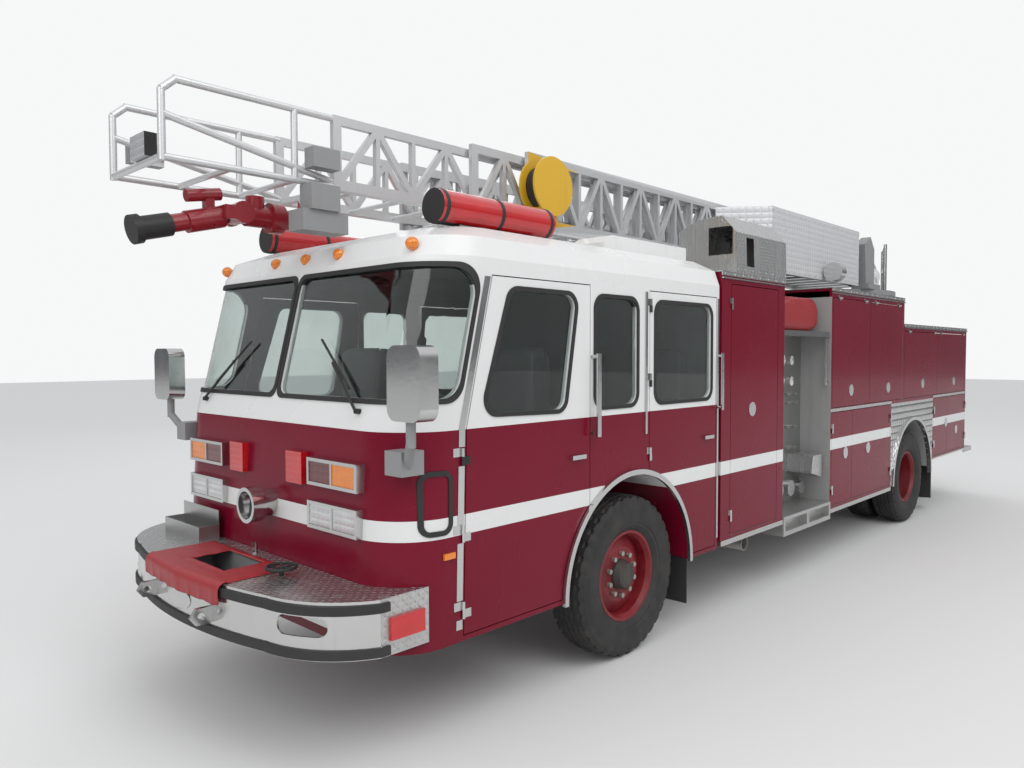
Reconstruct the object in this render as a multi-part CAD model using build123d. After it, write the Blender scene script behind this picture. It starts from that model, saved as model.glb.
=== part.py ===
from build123d import *
import math
import os

os.makedirs("parts", exist_ok=True)

# Frame: +X to the front, +Y to the vehicle's left, +Z up, millimetres.
# The ground is z = 0 and x = 0 lies midway between the two ends of the vehicle.

# Running gear.
front_axle_x = 2870
wheelbase = 5750
rear_axle_x = front_axle_x - wheelbase
tyre_r = 540
tyre_w = 290
rim_r = 303
front_tyre_out = 1197
rear_tyre_out = 1208
dual_space = 45
hub_r = 95
nut_count = 10
nut_circle_r = 142
kingpin_y = 815
spindle_r = 42
run_gap = 0.3

# Ladder frame.
rail_y = 430
rail_w = 90
rail_z0 = 680
rail_z1 = 940
frame_front_x = 4790
frame_rear_x = rear_axle_x - 2420
horn_z0 = 640
horn_z1 = 865.7
horn_front_x = 5200

# Cab.
cab_half = 1227
cab_rear_x = 1774
cab_bottom_z = 534
cab_wall = 40
cab_floor_z = 1000
floor_t = 30
corner_r = 320
break_z = 1644
eave_z = 2538
cab_foot_x = 4885
cab_break_x = 4820
cab_eave_x = 4600
roof_edge_z = 2650
roof_top_z = 2730
arch_x = front_axle_x + 25
arch_r = 690
arch_skin = 14
arch_trim = 34
gasket_t = 7
gasket_w = 24
house_y = 540
grab_x = 3339
arch_cuts = (-495, -335, -175, 0, 195, 355, 505)

# Cab doors.
door_t = 38
door_bottom_z = 566
door_top_z = 2445
door_gap = 6
strip_x0 = 4425
strip_x1 = 4397
strip_x2 = 4205
front_door_rear_x = 3360
crew_door_front_x = 2705
crew_door_rear_x = 1815
belt_z = 1700
head_z = 2378
glass_t = 6
glass_in = 14
window_r = 75
hinge_r = 9

# Front bumper.
bumper_z0 = 592
bumper_z1 = 872
bumper_front_x = 5380
bumper_wall = 8
bumper_rear_x = 4655
deck_sheet = 6
tray_x0 = 5000
tray_x1 = 5290
tray_half = 400
tray_depth = 200
bin_box = (4905, 5035, -1000, -500)
bin_high = 180
eye_y = 326
eye_t = 25
tow_hole_r = 20

# Body compartments.
body_half = 1238
body_floor_z = 520
panel_t = 25
bay_depth = 600
comp_front_x = 1750
comp_rear_x = 662
high_front_x = -372
high_rear_x = rear_axle_x + 380
low_rear_x = rear_axle_x - 2300
high_top_z = 2650
low_top_z = 2356
upper_sill_z = 1500
low_floor_z0 = 690
low_floor_z1 = 714
beam_z0 = 556.3
beam_z1 = 666
beam_w = 110
tail_x = rear_axle_x - 2736
tail_z1 = 680
comp_door_t = 20
comp_gap = 6
rear_arch_x = rear_axle_x + 20
rear_arch_r = 690
recess_y = 940
well_front_x = rear_arch_x + 755
well_rear_x = rear_arch_x - 805

# Turntable and aerial ladder.
turn_x = rear_axle_x
pedestal_r = 480
deck_r = 970
deck_z = 2722
deck_t = 58
heel_x = turn_x - 950
heel_z = 3050
heel_pin_r = 35
truss_t = 34
nest_gap = 20
fly_out_y = 335
mid_out_y = fly_out_y + nest_gap + truss_t
base_out_y = mid_out_y + nest_gap + truss_t
base_z0 = 2900
rung_r = 15
section_rise = 36
base_top_z = 3450
mid_top_z = 3422
fly_top_z = 3396
base_front_x = 3060
mid_front_x = 3550
fly_front_x = 4590
tip_x = 5572
monitor_x = 5010
mid_rear_x = heel_x + 410
fly_rear_x = heel_x + 680
rung_pitch = 356
cyl_y = 640
barrel_r = 62
rod_r = 38
barrel_foot_x = turn_x - 50
barrel_foot_z = 2860
rod_eye_x = turn_x + 1950
rod_eye_z = 2990
shield_x0 = 100
shield_x1 = turn_x + 750
shield_nose_x = 430
shield_y = 850
shield_z0 = 2800
shield_z1 = 3412
sheet_t = 5

nodes = {}


def add(name, *solids):
    """Collect solids under the name of the node that they are written to."""
    nodes.setdefault(name, []).extend(solids)


def block(x0, x1, y0, y1, z0, z1):
    """A box between two corners."""
    return Pos((x0 + x1) / 2, (y0 + y1) / 2, (z0 + z1) / 2) * Box(
        abs(x1 - x0), abs(y1 - y0), abs(z1 - z0)
    )


def bar(p, q, r):
    """A round bar from one point to another."""
    span = Vector(*q) - Vector(*p)
    place = Plane(origin=Vector(*p), z_dir=span)
    return place * Cylinder(r, span.length, align=(Align.CENTER, Align.CENTER, Align.MIN))


def rod_y(x, y0, y1, z, r):
    """A round bar along Y."""
    return bar((x, min(y0, y1), z), (x, max(y0, y1), z), r)


def rod_x(x0, x1, y, z, r):
    """A round bar along X."""
    return bar((min(x0, x1), y, z), (max(x0, x1), y, z), r)


def rod_z(x, y, z0, z1, r):
    """A round bar along Z."""
    return bar((x, y, min(z0, z1)), (x, y, max(z0, z1)), r)


def side_face(points, y=0, grow=0, round_r=0, which=None):
    """A face in the XZ plane from (x, z) points, grown and with rounded corners."""
    face = make_face(Polyline(*[(x, y, z) for x, z in points], close=True))
    if grow:
        face = offset(face, amount=grow, kind=Kind.INTERSECTION)
    if round_r:
        corners = face.vertices() if which is None else which(face.vertices())
        face = fillet(corners, round_r)
    return face


def side_plate(points, y0, y1, grow=0, round_r=0, which=None):
    """A plate that stands in the XZ plane, between two Y values."""
    face = side_face(points, min(y0, y1), grow, round_r, which)
    return extrude(face, amount=abs(y1 - y0), dir=(0, 1, 0))


def front_plate(points, x0, x1, grow=0, round_r=0):
    """A plate that stands in the YZ plane, from (y, z) points."""
    face = make_face(Polyline(*[(min(x0, x1), y, z) for y, z in points], close=True))
    if grow:
        face = offset(face, amount=grow, kind=Kind.INTERSECTION)
    if round_r:
        face = fillet(face.vertices(), round_r)
    return extrude(face, amount=abs(x1 - x0), dir=(1, 0, 0))


def both(solid):
    """A left-hand solid and its mirror image on the right."""
    return [solid, mirror(solid, about=Plane.XZ)]


def spun(points):
    """A ring from (y, r) points, turned about the Y axis."""
    face = make_face(Polyline(*[(0, y, r) for y, r in points], close=True))
    return revolve(face, axis=Axis.Y, revolution_arc=360)


def strip_x(z):
    """The slanting front edge of the front door at a height."""
    if z <= break_z:
        return strip_x0 + (strip_x1 - strip_x0) * (z - cab_bottom_z) / (break_z - cab_bottom_z)
    return strip_x1 + (strip_x2 - strip_x1) * (z - break_z) / (door_top_z - break_z)


# Wheels.
def tyre(out_y, side):
    """One tyre with a crowned tread, bulged walls and beads on the rim's seats."""
    half = tyre_w / 2
    profile = [
        (-half + 40, rim_r + run_gap), (-half + 22, rim_r + 28), (-half + 2, rim_r + 95),
        (-half, rim_r + 140), (-half + 10, tyre_r - 40), (-half + 26, tyre_r - 12),
        (-half + 60, tyre_r - 2), (0, tyre_r), (half - 60, tyre_r - 2), (half - 26, tyre_r - 12),
        (half - 10, tyre_r - 40), (half, rim_r + 140), (half - 2, rim_r + 95),
        (half - 22, rim_r + 28), (half - 40, rim_r + run_gap),
    ]
    return Pos(0, side * (out_y - half), 0) * spun(profile)


def rim(out_y, side, disc_at, dish, bore_r):
    """A steel disc wheel: barrel, dished disc, hub with its bore and ten nuts."""
    half = tyre_w / 2 - 36
    wall = 12
    barrel = [
        (-half, rim_r), (-half, rim_r - 20), (-half + 30, rim_r - wall - 24),
        (half - 30, rim_r - wall - 24), (half, rim_r - 20), (half, rim_r),
        (half - 12, rim_r), (half - 40, rim_r - 24), (-half + 40, rim_r - 24), (-half + 12, rim_r),
    ]
    disc = [
        (disc_at - 10, bore_r), (disc_at - 10, nut_circle_r + 40), (disc_at - dish, rim_r - wall - 22),
        (disc_at - dish + 12, rim_r - wall - 22), (disc_at + 4, nut_circle_r + 40), (disc_at + 4, bore_r),
    ]
    hub = [
        (disc_at - 60, bore_r), (disc_at - 60, hub_r + 12), (disc_at + 20, hub_r + 6),
        (disc_at + 62, hub_r - 14), (disc_at + 70, hub_r - 40), (disc_at + 70, 0),
        (disc_at + 58, 0), (disc_at + 58, bore_r),
    ]
    wheel = spun(barrel) + spun(disc) + spun(hub)
    for turn in range(nut_count):
        angle = 2 * math.pi * turn / nut_count
        x = nut_circle_r * math.sin(angle)
        z = nut_circle_r * math.cos(angle)
        wheel += rod_y(x, disc_at, disc_at + 30, z, 16)
    place = Pos(0, side * (out_y - tyre_w / 2), 0)
    return place * (wheel if side > 0 else mirror(wheel, about=Plane.XZ))


def wheels():
    """Steered front wheels and twin rear wheels, each side its own body."""
    second_out = rear_tyre_out - tyre_w - dual_space
    for side, word in ((1, "left"), (-1, "right")):
        front = Pos(front_axle_x, 0, tyre_r)
        rear = Pos(rear_axle_x, 0, tyre_r)
        add("tyre_front_" + word, front * tyre(front_tyre_out, side))
        add("rim_front_" + word, front * rim(front_tyre_out, side, 50, 50, spindle_r + run_gap))
        add("tyres_rear_" + word, rear * tyre(rear_tyre_out, side), rear * tyre(second_out, side))
        outer = rim(rear_tyre_out, side, -60, 14, spindle_r + run_gap)
        inner_y = second_out - tyre_w / 2
        outer_y = rear_tyre_out - tyre_w / 2
        drum = spun([
            (inner_y - 90, spindle_r + run_gap), (inner_y - 90, 215), (inner_y + 80, 215),
            (inner_y + 80, rim_r - 34), (inner_y + 94, rim_r - 34), (inner_y + 94, 160),
            (outer_y - 120, 160), (outer_y - 120, spindle_r + run_gap),
        ])
        half = tyre_w / 2 - 36
        ring = spun([
            (inner_y - half, rim_r), (inner_y - half, rim_r - 20), (inner_y - half + 30, rim_r - 36),
            (inner_y + half, rim_r - 36), (inner_y + half, rim_r), (inner_y + half - 12, rim_r),
            (inner_y + half - 40, rim_r - 24), (inner_y - half + 40, rim_r - 24),
            (inner_y - half + 12, rim_r),
        ])
        twin = drum + ring
        add("rims_rear_" + word, rear * (outer + (twin if side > 0 else mirror(twin, about=Plane.XZ))))


# Axles, steering and frame.
def axles():
    """Front beam with kingpins, rear housing and the leaf springs of both."""
    seat_z = rail_z0 - 40
    steps = [(-kingpin_y + 55, 0), (-520, -95), (520, -95), (kingpin_y - 55, 0)]
    low = [(y, tyre_r + dz - 35) for y, dz in steps]
    high = [(y, tyre_r + dz + 35) for y, dz in reversed(steps)]
    beam = front_plate(low + high, front_axle_x - 45, front_axle_x + 45)
    solids = [beam]
    for pin in both(rod_z(front_axle_x, kingpin_y, tyre_r - 110, tyre_r + 110, 20)):
        solids.append(pin)
    end = block(front_axle_x - 40, front_axle_x + 40, kingpin_y - 55, kingpin_y, tyre_r - 38, tyre_r + 38)
    end += rod_z(front_axle_x, kingpin_y, tyre_r - 38, tyre_r + 38, 30)
    front = beam
    for solid in solids[1:] + both(end):
        front += solid
    add("axles", front)
    tube_end = rear_tyre_out - 2 * tyre_w - dual_space - 30
    housing = rod_y(rear_axle_x, -tube_end, tube_end, tyre_r, 70)
    housing += Pos(rear_axle_x, 0, tyre_r) * Sphere(195)
    spindle_end = rear_tyre_out - tyre_w / 2 - 10
    housing += rod_y(rear_axle_x, -spindle_end, spindle_end, tyre_r, spindle_r)
    housing += rod_x(rear_axle_x, rear_axle_x + 290, 0, tyre_r + 20, 60)
    add("axles", housing)
    for axle_x, pad_z, length in ((front_axle_x, tyre_r - 60, 700), (rear_axle_x, tyre_r + 70, 620)):
        spring_y = rail_y
        pack_h = 50
        top = rail_z0 - run_gap
        leaf = side_plate(
            [(axle_x - length, top - 16), (axle_x - 90, pad_z), (axle_x + 90, pad_z),
             (axle_x + length, top - 16), (axle_x + length, top), (axle_x + 90, pad_z + pack_h),
             (axle_x - 90, pad_z + pack_h), (axle_x - length, top)],
            spring_y - 38, spring_y + 38)
        if axle_x == front_axle_x:
            beam_low = tyre_r - 95 + 35
            leaf = side_plate(
                [(axle_x - length, top - 16), (axle_x - 90, beam_low), (axle_x + 90, beam_low),
                 (axle_x + length, top - 16), (axle_x + length, top), (axle_x + 90, beam_low + pack_h),
                 (axle_x - 90, beam_low + pack_h), (axle_x - length, top)],
                spring_y - 38, spring_y + 38)
        for piece in both(leaf):
            add("axles", piece)


def knuckles():
    """Steering knuckles: yoke round the kingpin, spindle and brake drum back."""
    for side, word in ((1, "left"), (-1, "right")):
        yoke = block(front_axle_x - 55, front_axle_x + 55, kingpin_y + 36, kingpin_y + 70,
                     tyre_r - 110, tyre_r + 110)
        for z0, z1 in ((tyre_r - 110, tyre_r - 44), (tyre_r + 44, tyre_r + 110)):
            yoke += block(front_axle_x - 45, front_axle_x + 45, kingpin_y - 45, kingpin_y + 40, z0, z1)
        yoke -= rod_z(front_axle_x, kingpin_y, tyre_r - 120, tyre_r + 120, 20 + run_gap)
        yoke += rod_y(front_axle_x, kingpin_y + 60, front_tyre_out - 45, tyre_r, spindle_r)
        yoke += rod_y(front_axle_x, kingpin_y + 70, kingpin_y + 120, tyre_r, 190)
        add("knuckle_" + word, yoke if side > 0 else mirror(yoke, about=Plane.XZ))


def frame():
    """Two channel rails, cross members, front horns, and the ladder's pedestal."""
    flange = 14
    rail = block(frame_rear_x, frame_front_x, rail_y - rail_w / 2, rail_y + rail_w / 2, rail_z0, rail_z1)
    rail -= block(frame_rear_x - 1, frame_front_x + 1, rail_y - rail_w / 2 - 1,
                  rail_y + rail_w / 2 - flange, rail_z0 + flange, rail_z1 - flange)
    inner = rail_y + rail_w / 2 - flange
    rail += block(4600, horn_front_x, 412, 470, horn_z0, horn_z1)
    add("chassis_frame", *both(rail))
    for x in (4300, 1500, 300, -900, rear_axle_x + 980, rear_axle_x - 520, rear_axle_x - 1420, frame_rear_x + 60):
        add("chassis_frame", block(x - 35, x + 35, -inner, inner, rail_z0 + 40, rail_z1 - 40))
    for x in (2050, 4250):
        pad = block(x - 60, x + 60, 395, 465, rail_z1, cab_floor_z - floor_t - run_gap)
        add("chassis_frame", *both(pad))
    foot_z = 1100
    post = Pos(turn_x, 0, 0) * (
        Pos(0, 0, (foot_z + deck_z - 60) / 2) * Cylinder(pedestal_r, deck_z - 60 - foot_z)
        - Pos(0, 0, (foot_z + deck_z - 60) / 2) * Cylinder(pedestal_r - 16, deck_z - foot_z + 10))
    add("chassis_frame", post)
    ring = Pos(turn_x, 0, deck_z - 30 - run_gap / 2) * (Cylinder(pedestal_r + 60, 60 - run_gap)
                                                       - Cylinder(pedestal_r - 60, 80))
    add("chassis_frame", ring)
    box_half = rail_y + rail_w / 2
    cradle = block(turn_x - 620, turn_x + 620, -box_half, box_half, rail_z1, foot_z)
    cradle -= block(turn_x - 640, turn_x + 640, -box_half + 14, box_half - 14, rail_z1 - 1, foot_z - 14)
    add("chassis_frame", cradle)


def driveline():
    """Engine block, gearbox, propeller shaft, fuel tank and exhaust."""
    engine = block(2400, 3600, -360, 360, 610, 1480)
    for x in (2700, 3300):
        engine += block(x - 50, x + 50, -440, 440, rail_z0 + 14 + run_gap, rail_z0 + 70)
    add("driveline", engine)
    add("driveline", block(1850, 2400, -230, 230, 600, 960))
    add("driveline", rod_x(rear_axle_x + 290, 1850, 0, tyre_r + 20 + 40, 45))
    add("driveline", block(-1750, -1000, -rail_y + 60, rail_y - 60, 560, 670))
    add("driveline", block(-1750, -1000, -360, 360, 670, 900))
    pipe = rod_y(1260, 520, 1190, 470, 55) - rod_y(1260, 700, 1200, 470, 50)
    pipe += rod_x(1240, 1740, 560, 470, 95) + rod_x(1740, 2100, 560, 470, 45)
    pipe += bar((2080, 560, 470), (2080, 290, 620), 45) + bar((2080, 290, 620), (2450, 290, 650), 45)
    add("driveline", pipe - block(2400, 3600, -360, 360, 610, 1480))


def butt_hinges(kind, line, spots, face_y, reach):
    """Hinges on an outer face: the door's halves fused together, and the fixed halves."""
    r = hinge_r
    y = face_y + r + 0.5
    moving = []
    fixed = []
    for spot in spots:
        for group, a, b, sign in ((moving, spot - 45, spot - run_gap / 2, -1), (fixed, spot + run_gap / 2, spot + 45, 1)):
            if kind == "top":
                pin = rod_x(a, b, y, line, r)
                leaf = block(a, b, face_y, face_y + 3, *sorted((line, line + sign * reach)))
                post = block(a, b, face_y, y, line + min(sign, 0) * 4, line + max(sign, 0) * 4)
            else:
                way = sign if kind == "front" else -sign
                pin = rod_z(line, y, a, b, r)
                leaf = block(*sorted((line, line + way * reach)), face_y, face_y + 3, a, b)
                post = block(*sorted((line, line + way * 4)), face_y, y, a, b)
            group.append(pin + leaf + post)
    return moving, fixed


def fit_hinges(door, kind, line, spots, face_y, reach):
    """Give each hand of a door its hinge halves and the body the other halves."""
    moving, fixed = butt_hinges(kind, line, spots, face_y, reach)
    for piece in moving:
        door += piece
    for piece in fixed:
        add("bright_trim", *both(piece))
    return door


# Cab.
def plan(z, front_x, rear_x, half, radius):
    """A plan outline of the cab at a height, with rounded front corners."""
    face = Pos((front_x + rear_x) / 2, 0, z) * Rectangle(front_x - rear_x, 2 * half)
    front = face.vertices().group_by(Axis.X)[-1]
    return fillet(front, radius)


def cab_form(inset, foot_z, top_drop):
    """The cab's outer form drawn in by a wall: upright body, raked front and crowned roof."""
    cut = inset
    rows = [
        (foot_z, cab_foot_x, cab_half, corner_r, 0),
        (break_z, cab_break_x, cab_half, corner_r, 0),
        (eave_z, cab_eave_x, cab_half, corner_r, 0),
        (roof_edge_z - top_drop, cab_eave_x - 60, cab_half - 37, corner_r - 10, 6),
        (roof_top_z - top_drop, cab_eave_x - 270, cab_half - 187, corner_r - 50, 60),
    ]
    faces = [
        plan(z, x - cut, cab_rear_x + back + cut, half - cut, radius - cut)
        for z, x, half, radius, back in rows
    ]
    return loft(faces, ruled=True)


def arch_cut(x, radius, y0, y1):
    """The round of a wheel arch, run down below the skirt."""
    low = block(x - radius, x + radius, y0, y1, 0, tyre_r)
    return rod_y(x, y0, y1, tyre_r, radius) + low


def screen_x(z):
    """The raked face of the cab at a height above its break."""
    return cab_break_x + (cab_eave_x - cab_break_x) * (z - break_z) / (eave_z - break_z)


def door_outline(word):
    """Front and crew door outlines in side view."""
    if word == "front":
        return [(strip_x(door_bottom_z) - door_gap, door_bottom_z),
                (strip_x(break_z) - door_gap, break_z),
                (strip_x(door_top_z) - door_gap, door_top_z),
                (front_door_rear_x, door_top_z), (front_door_rear_x, door_bottom_z)]
    return [(crew_door_front_x, door_bottom_z), (crew_door_front_x, door_top_z),
            (crew_door_rear_x, door_top_z), (crew_door_rear_x, door_bottom_z)]


windows = {
    "front": [(4274, belt_z + 16), (4058, head_z), (3490, head_z - 2), (3606, belt_z)],
    "middle": [(3300, belt_z), (3300, head_z), (2860, head_z), (2860, belt_z)],
    "crew": [(2635, belt_z), (2635, head_z - 6), (1895, head_z - 6), (1895, belt_z)],
}
screen_z0 = 1800
screen_z1 = 2480
divider_half = 30
screen_back = 95


def screen_cutter(grow):
    """The windscreen opening of the left half, as the crossing of two plates."""
    rear0 = strip_x(screen_z0) + screen_back
    rear1 = strip_x(screen_z1) + screen_back
    side = [(rear0, screen_z0), (rear1, screen_z1), (5100, screen_z1), (5100, screen_z0)]
    edge = side_plate(side, -1300, 1300, grow, 130, lambda v: v.group_by(Axis.X)[0] + v.group_by(Axis.X)[1])
    face = [(divider_half, screen_z0), (1400, screen_z0), (1400, screen_z1), (divider_half, screen_z1)]
    return edge & front_plate(face, 3800, 5000, grow, 60)


def cab():
    """Cab shell, glass, the four doors and what is seen through the windows."""
    hollow = cab_form(cab_wall, cab_floor_z, cab_wall)
    under = block(cab_rear_x + cab_wall, cab_foot_x - 330, -cab_half + cab_wall, cab_half - cab_wall,
                  0, cab_floor_z - floor_t)
    under += block(cab_foot_x - 340, cab_foot_x - 90, -cab_half + 330, cab_half - 330,
                   0, cab_floor_z - floor_t)
    for side in (1, -1):
        y0, y1 = sorted((side * (house_y - arch_skin), side * 1400))
        house = rod_y(arch_x, y0, y1, tyre_r, arch_r + arch_skin)
        hollow -= house
        under -= house & block(arch_x - 800, arch_x + 800, y0, y1, tyre_r, 1400)
    shell = cab_form(0, cab_bottom_z, 0) - hollow - under
    shell -= block(cab_rear_x - 1, cab_rear_x + cab_wall + 1, -620, 620, 0, cab_floor_z - floor_t)
    shell -= block(2370, 3640, -385, 385, cab_floor_z - floor_t - 1, cab_floor_z + 1)
    for side in (1, -1):
        y0, y1 = sorted((side * 408, side * 474))
        shell -= block(4700, 4900, y0, y1, horn_z0 - 4, horn_z1 + 4)
        y0, y1 = sorted((side * house_y, side * 1400))
        shell -= arch_cut(arch_x, arch_r, y0, y1)
        for word in ("front", "crew"):
            y0, y1 = sorted((side * (cab_half - cab_wall - 1), side * (cab_half + 5)))
            opening = side_plate(door_outline(word), y0, y1, door_gap)
            opening -= rod_y(arch_x, y0 - 1, y1 + 1, tyre_r, arch_r + arch_trim)
            shell -= opening
        y0, y1 = sorted((side * (cab_half - cab_wall - 5), side * (cab_half + 5)))
        shell -= side_plate(windows["middle"], y0, y1, 0, window_r)
    screen = screen_cutter(0)
    shell -= screen
    shell -= mirror(screen, about=Plane.XZ)
    cells = [
        ("roof", block(1500, 5000, -1400, 1400, door_top_z + door_gap, 2900)),
        ("rear", block(1500, crew_door_rear_x - door_gap, -1400, 1400, 300, door_top_z + door_gap)),
    ]
    posts = [("rear_post", crew_door_rear_x - door_gap, crew_door_front_x + door_gap),
             ("middle_post", crew_door_front_x + door_gap, front_door_rear_x - door_gap),
             ("front_bay", front_door_rear_x - door_gap, strip_x0),
             ("nose", strip_x0, 5100)]
    for word, x0, x1 in posts:
        for z0, z1 in ((300, cab_floor_z - floor_t), (cab_floor_z - floor_t, cab_floor_z),
                       (cab_floor_z, screen_z0), (screen_z0, door_top_z + door_gap)):
            cuts = [arch_x + away for away in arch_cuts if z0 == cab_floor_z and x0 < arch_x + away < x1]
            for a, b in zip([x0] + cuts, cuts + [x1]):
                for y0, y1 in ((-1400, -900), (-900, -house_y), (-house_y, house_y), (house_y, 900), (900, 1400)):
                    cells.append((word, block(a, b, y0, y1, z0, z1)))
    for word, cell in cells:
        piece = shell & cell
        for solid in piece.solids() if piece is not None else []:
            add("cab_shell", solid)

    band = cab_form(glass_in, cab_bottom_z, glass_in) - cab_form(glass_in + glass_t, cab_bottom_z - 5, glass_in + glass_t)
    pane = band & screen_cutter(-run_gap)
    bend_y = cab_half - corner_r
    front = block(3800, 5200, 0, bend_y, 1700, 2600)
    side_cell = block(3800, 5200, bend_y, 1400, 1700, 2600)
    ahead = Pos(4388, bend_y, 2150) * Rot(0, 0, -45) * Pos(1000, 0, 0) * Box(2000, 4000, 1000)
    for cell in (front, side_cell & ahead, side_cell - ahead):
        for piece in both(pane & cell):
            add("cab_glass", *piece.solids())
    y0 = cab_half - glass_in - glass_t
    for piece in both(side_plate(windows["middle"], y0, y0 + glass_t, -run_gap, window_r)):
        add("cab_glass", piece)

    rim_form = cab_form(-gasket_t, cab_bottom_z, 0) - cab_form(0, cab_bottom_z, 0)
    for piece in both(rim_form & (screen_cutter(gasket_w) - screen_cutter(-2))):
        add("edge_rubber", *piece.solids())
    recess = [(4496, 1110), (4496, 1440), (4690, 1440), (4690, 1110)]
    ring = side_plate(recess, 900, 1400, 0, 60) - side_plate(recess, 899, 1401, -26, 36)
    for piece in both(rim_form & ring):
        add("edge_rubber", *piece.solids())

    def gasket(word):
        wide = side_plate(windows[word], cab_half, cab_half + gasket_t, gasket_w, window_r + gasket_w)
        return wide - side_plate(windows[word], cab_half - 1, cab_half + gasket_t + 1, -2, window_r - 2)
    for piece in both(gasket("middle")):
        add("edge_rubber", piece)

    for word in ("front", "crew"):
        panel = side_plate(door_outline(word), cab_half - door_t, cab_half)
        panel -= rod_y(arch_x, cab_half - door_t - 1, cab_half + 1, tyre_r, arch_r + arch_trim + door_gap)
        panel = panel - side_plate(windows[word], cab_half - door_t - 1, cab_half + 1, 0, window_r)
        core = side_plate(windows[word], y0, y0 + glass_t, -run_gap, window_r)
        rear = front_door_rear_x if word == "front" else crew_door_rear_x
        panel += block(rear + 60, rear + 190, cab_half - 1, cab_half + 24, 1392, 1418)
        if word == "front":
            panel = fit_hinges(panel, "front", strip_x0 + 4, (700, 1100, 1500), cab_half, 60)
        else:
            panel = fit_hinges(panel, "front", crew_door_front_x + door_gap / 2, (1350, 1850, 2350), cab_half, 30)
        for side, hand in ((1, "left"), (-1, "right")):
            for solid in (panel, core, gasket(word)):
                add("door_%s_%s" % (word, hand), solid if side > 0 else mirror(solid, about=Plane.XZ))


def cab_inside():
    """Floor cover over the engine, dash, seats and the steering wheel."""
    cover = block(2350, 3660, -410, 410, cab_floor_z, 1600)
    cover -= block(2362, 3648, -398, 398, cab_floor_z - 1, 1588)
    add("cab_interior", cover)
    dash = side_plate([(4380, 1300), (4380, 1560), (4500, 1690), (4720, 1690), (4720, 1300)], -1000, 1000)
    for side in (1, -1):
        y0, y1 = sorted((side * 990, side * (cab_half - cab_wall - run_gap)))
        dash += side_plate([(4400, 1300), (4400, 1560), (4480, 1640), (4480, 1300)], y0, y1)
    add("cab_interior", dash)
    x = 4150
    for y in (780, -780):
        add("cab_interior", block(x - 500, x - 200, y - 180, y + 180, cab_floor_z, 1262))
        add("seats", block(x - 600, x - 120, y - 240, y + 240, 1262, 1420))
        add("seats", side_plate([(x - 600, 1420), (x - 490, 1420), (x - 590, 2080), (x - 680, 2080)],
                                y - 240, y + 240))
    ring = Plane(origin=(4250, 780, 1700), z_dir=(-0.72, 0, 0.69)) * (Torus(230, 14) + Box(440, 24, 12) + Cylinder(40, 30))
    add("cab_interior", ring + bar((4255, 780, 1695), (4395, 780, 1560), 24))
    for y in (760, 0, -760):
        add("seats", block(1840, 2300, y - 230, y + 230, 1300, 1430))
        add("seats", block(1840, 1940, y - 230, y + 230, 1430, 2060))
        add("cab_interior", block(1860, 2200, y - 150, y + 150, cab_floor_z, 1300))


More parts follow.
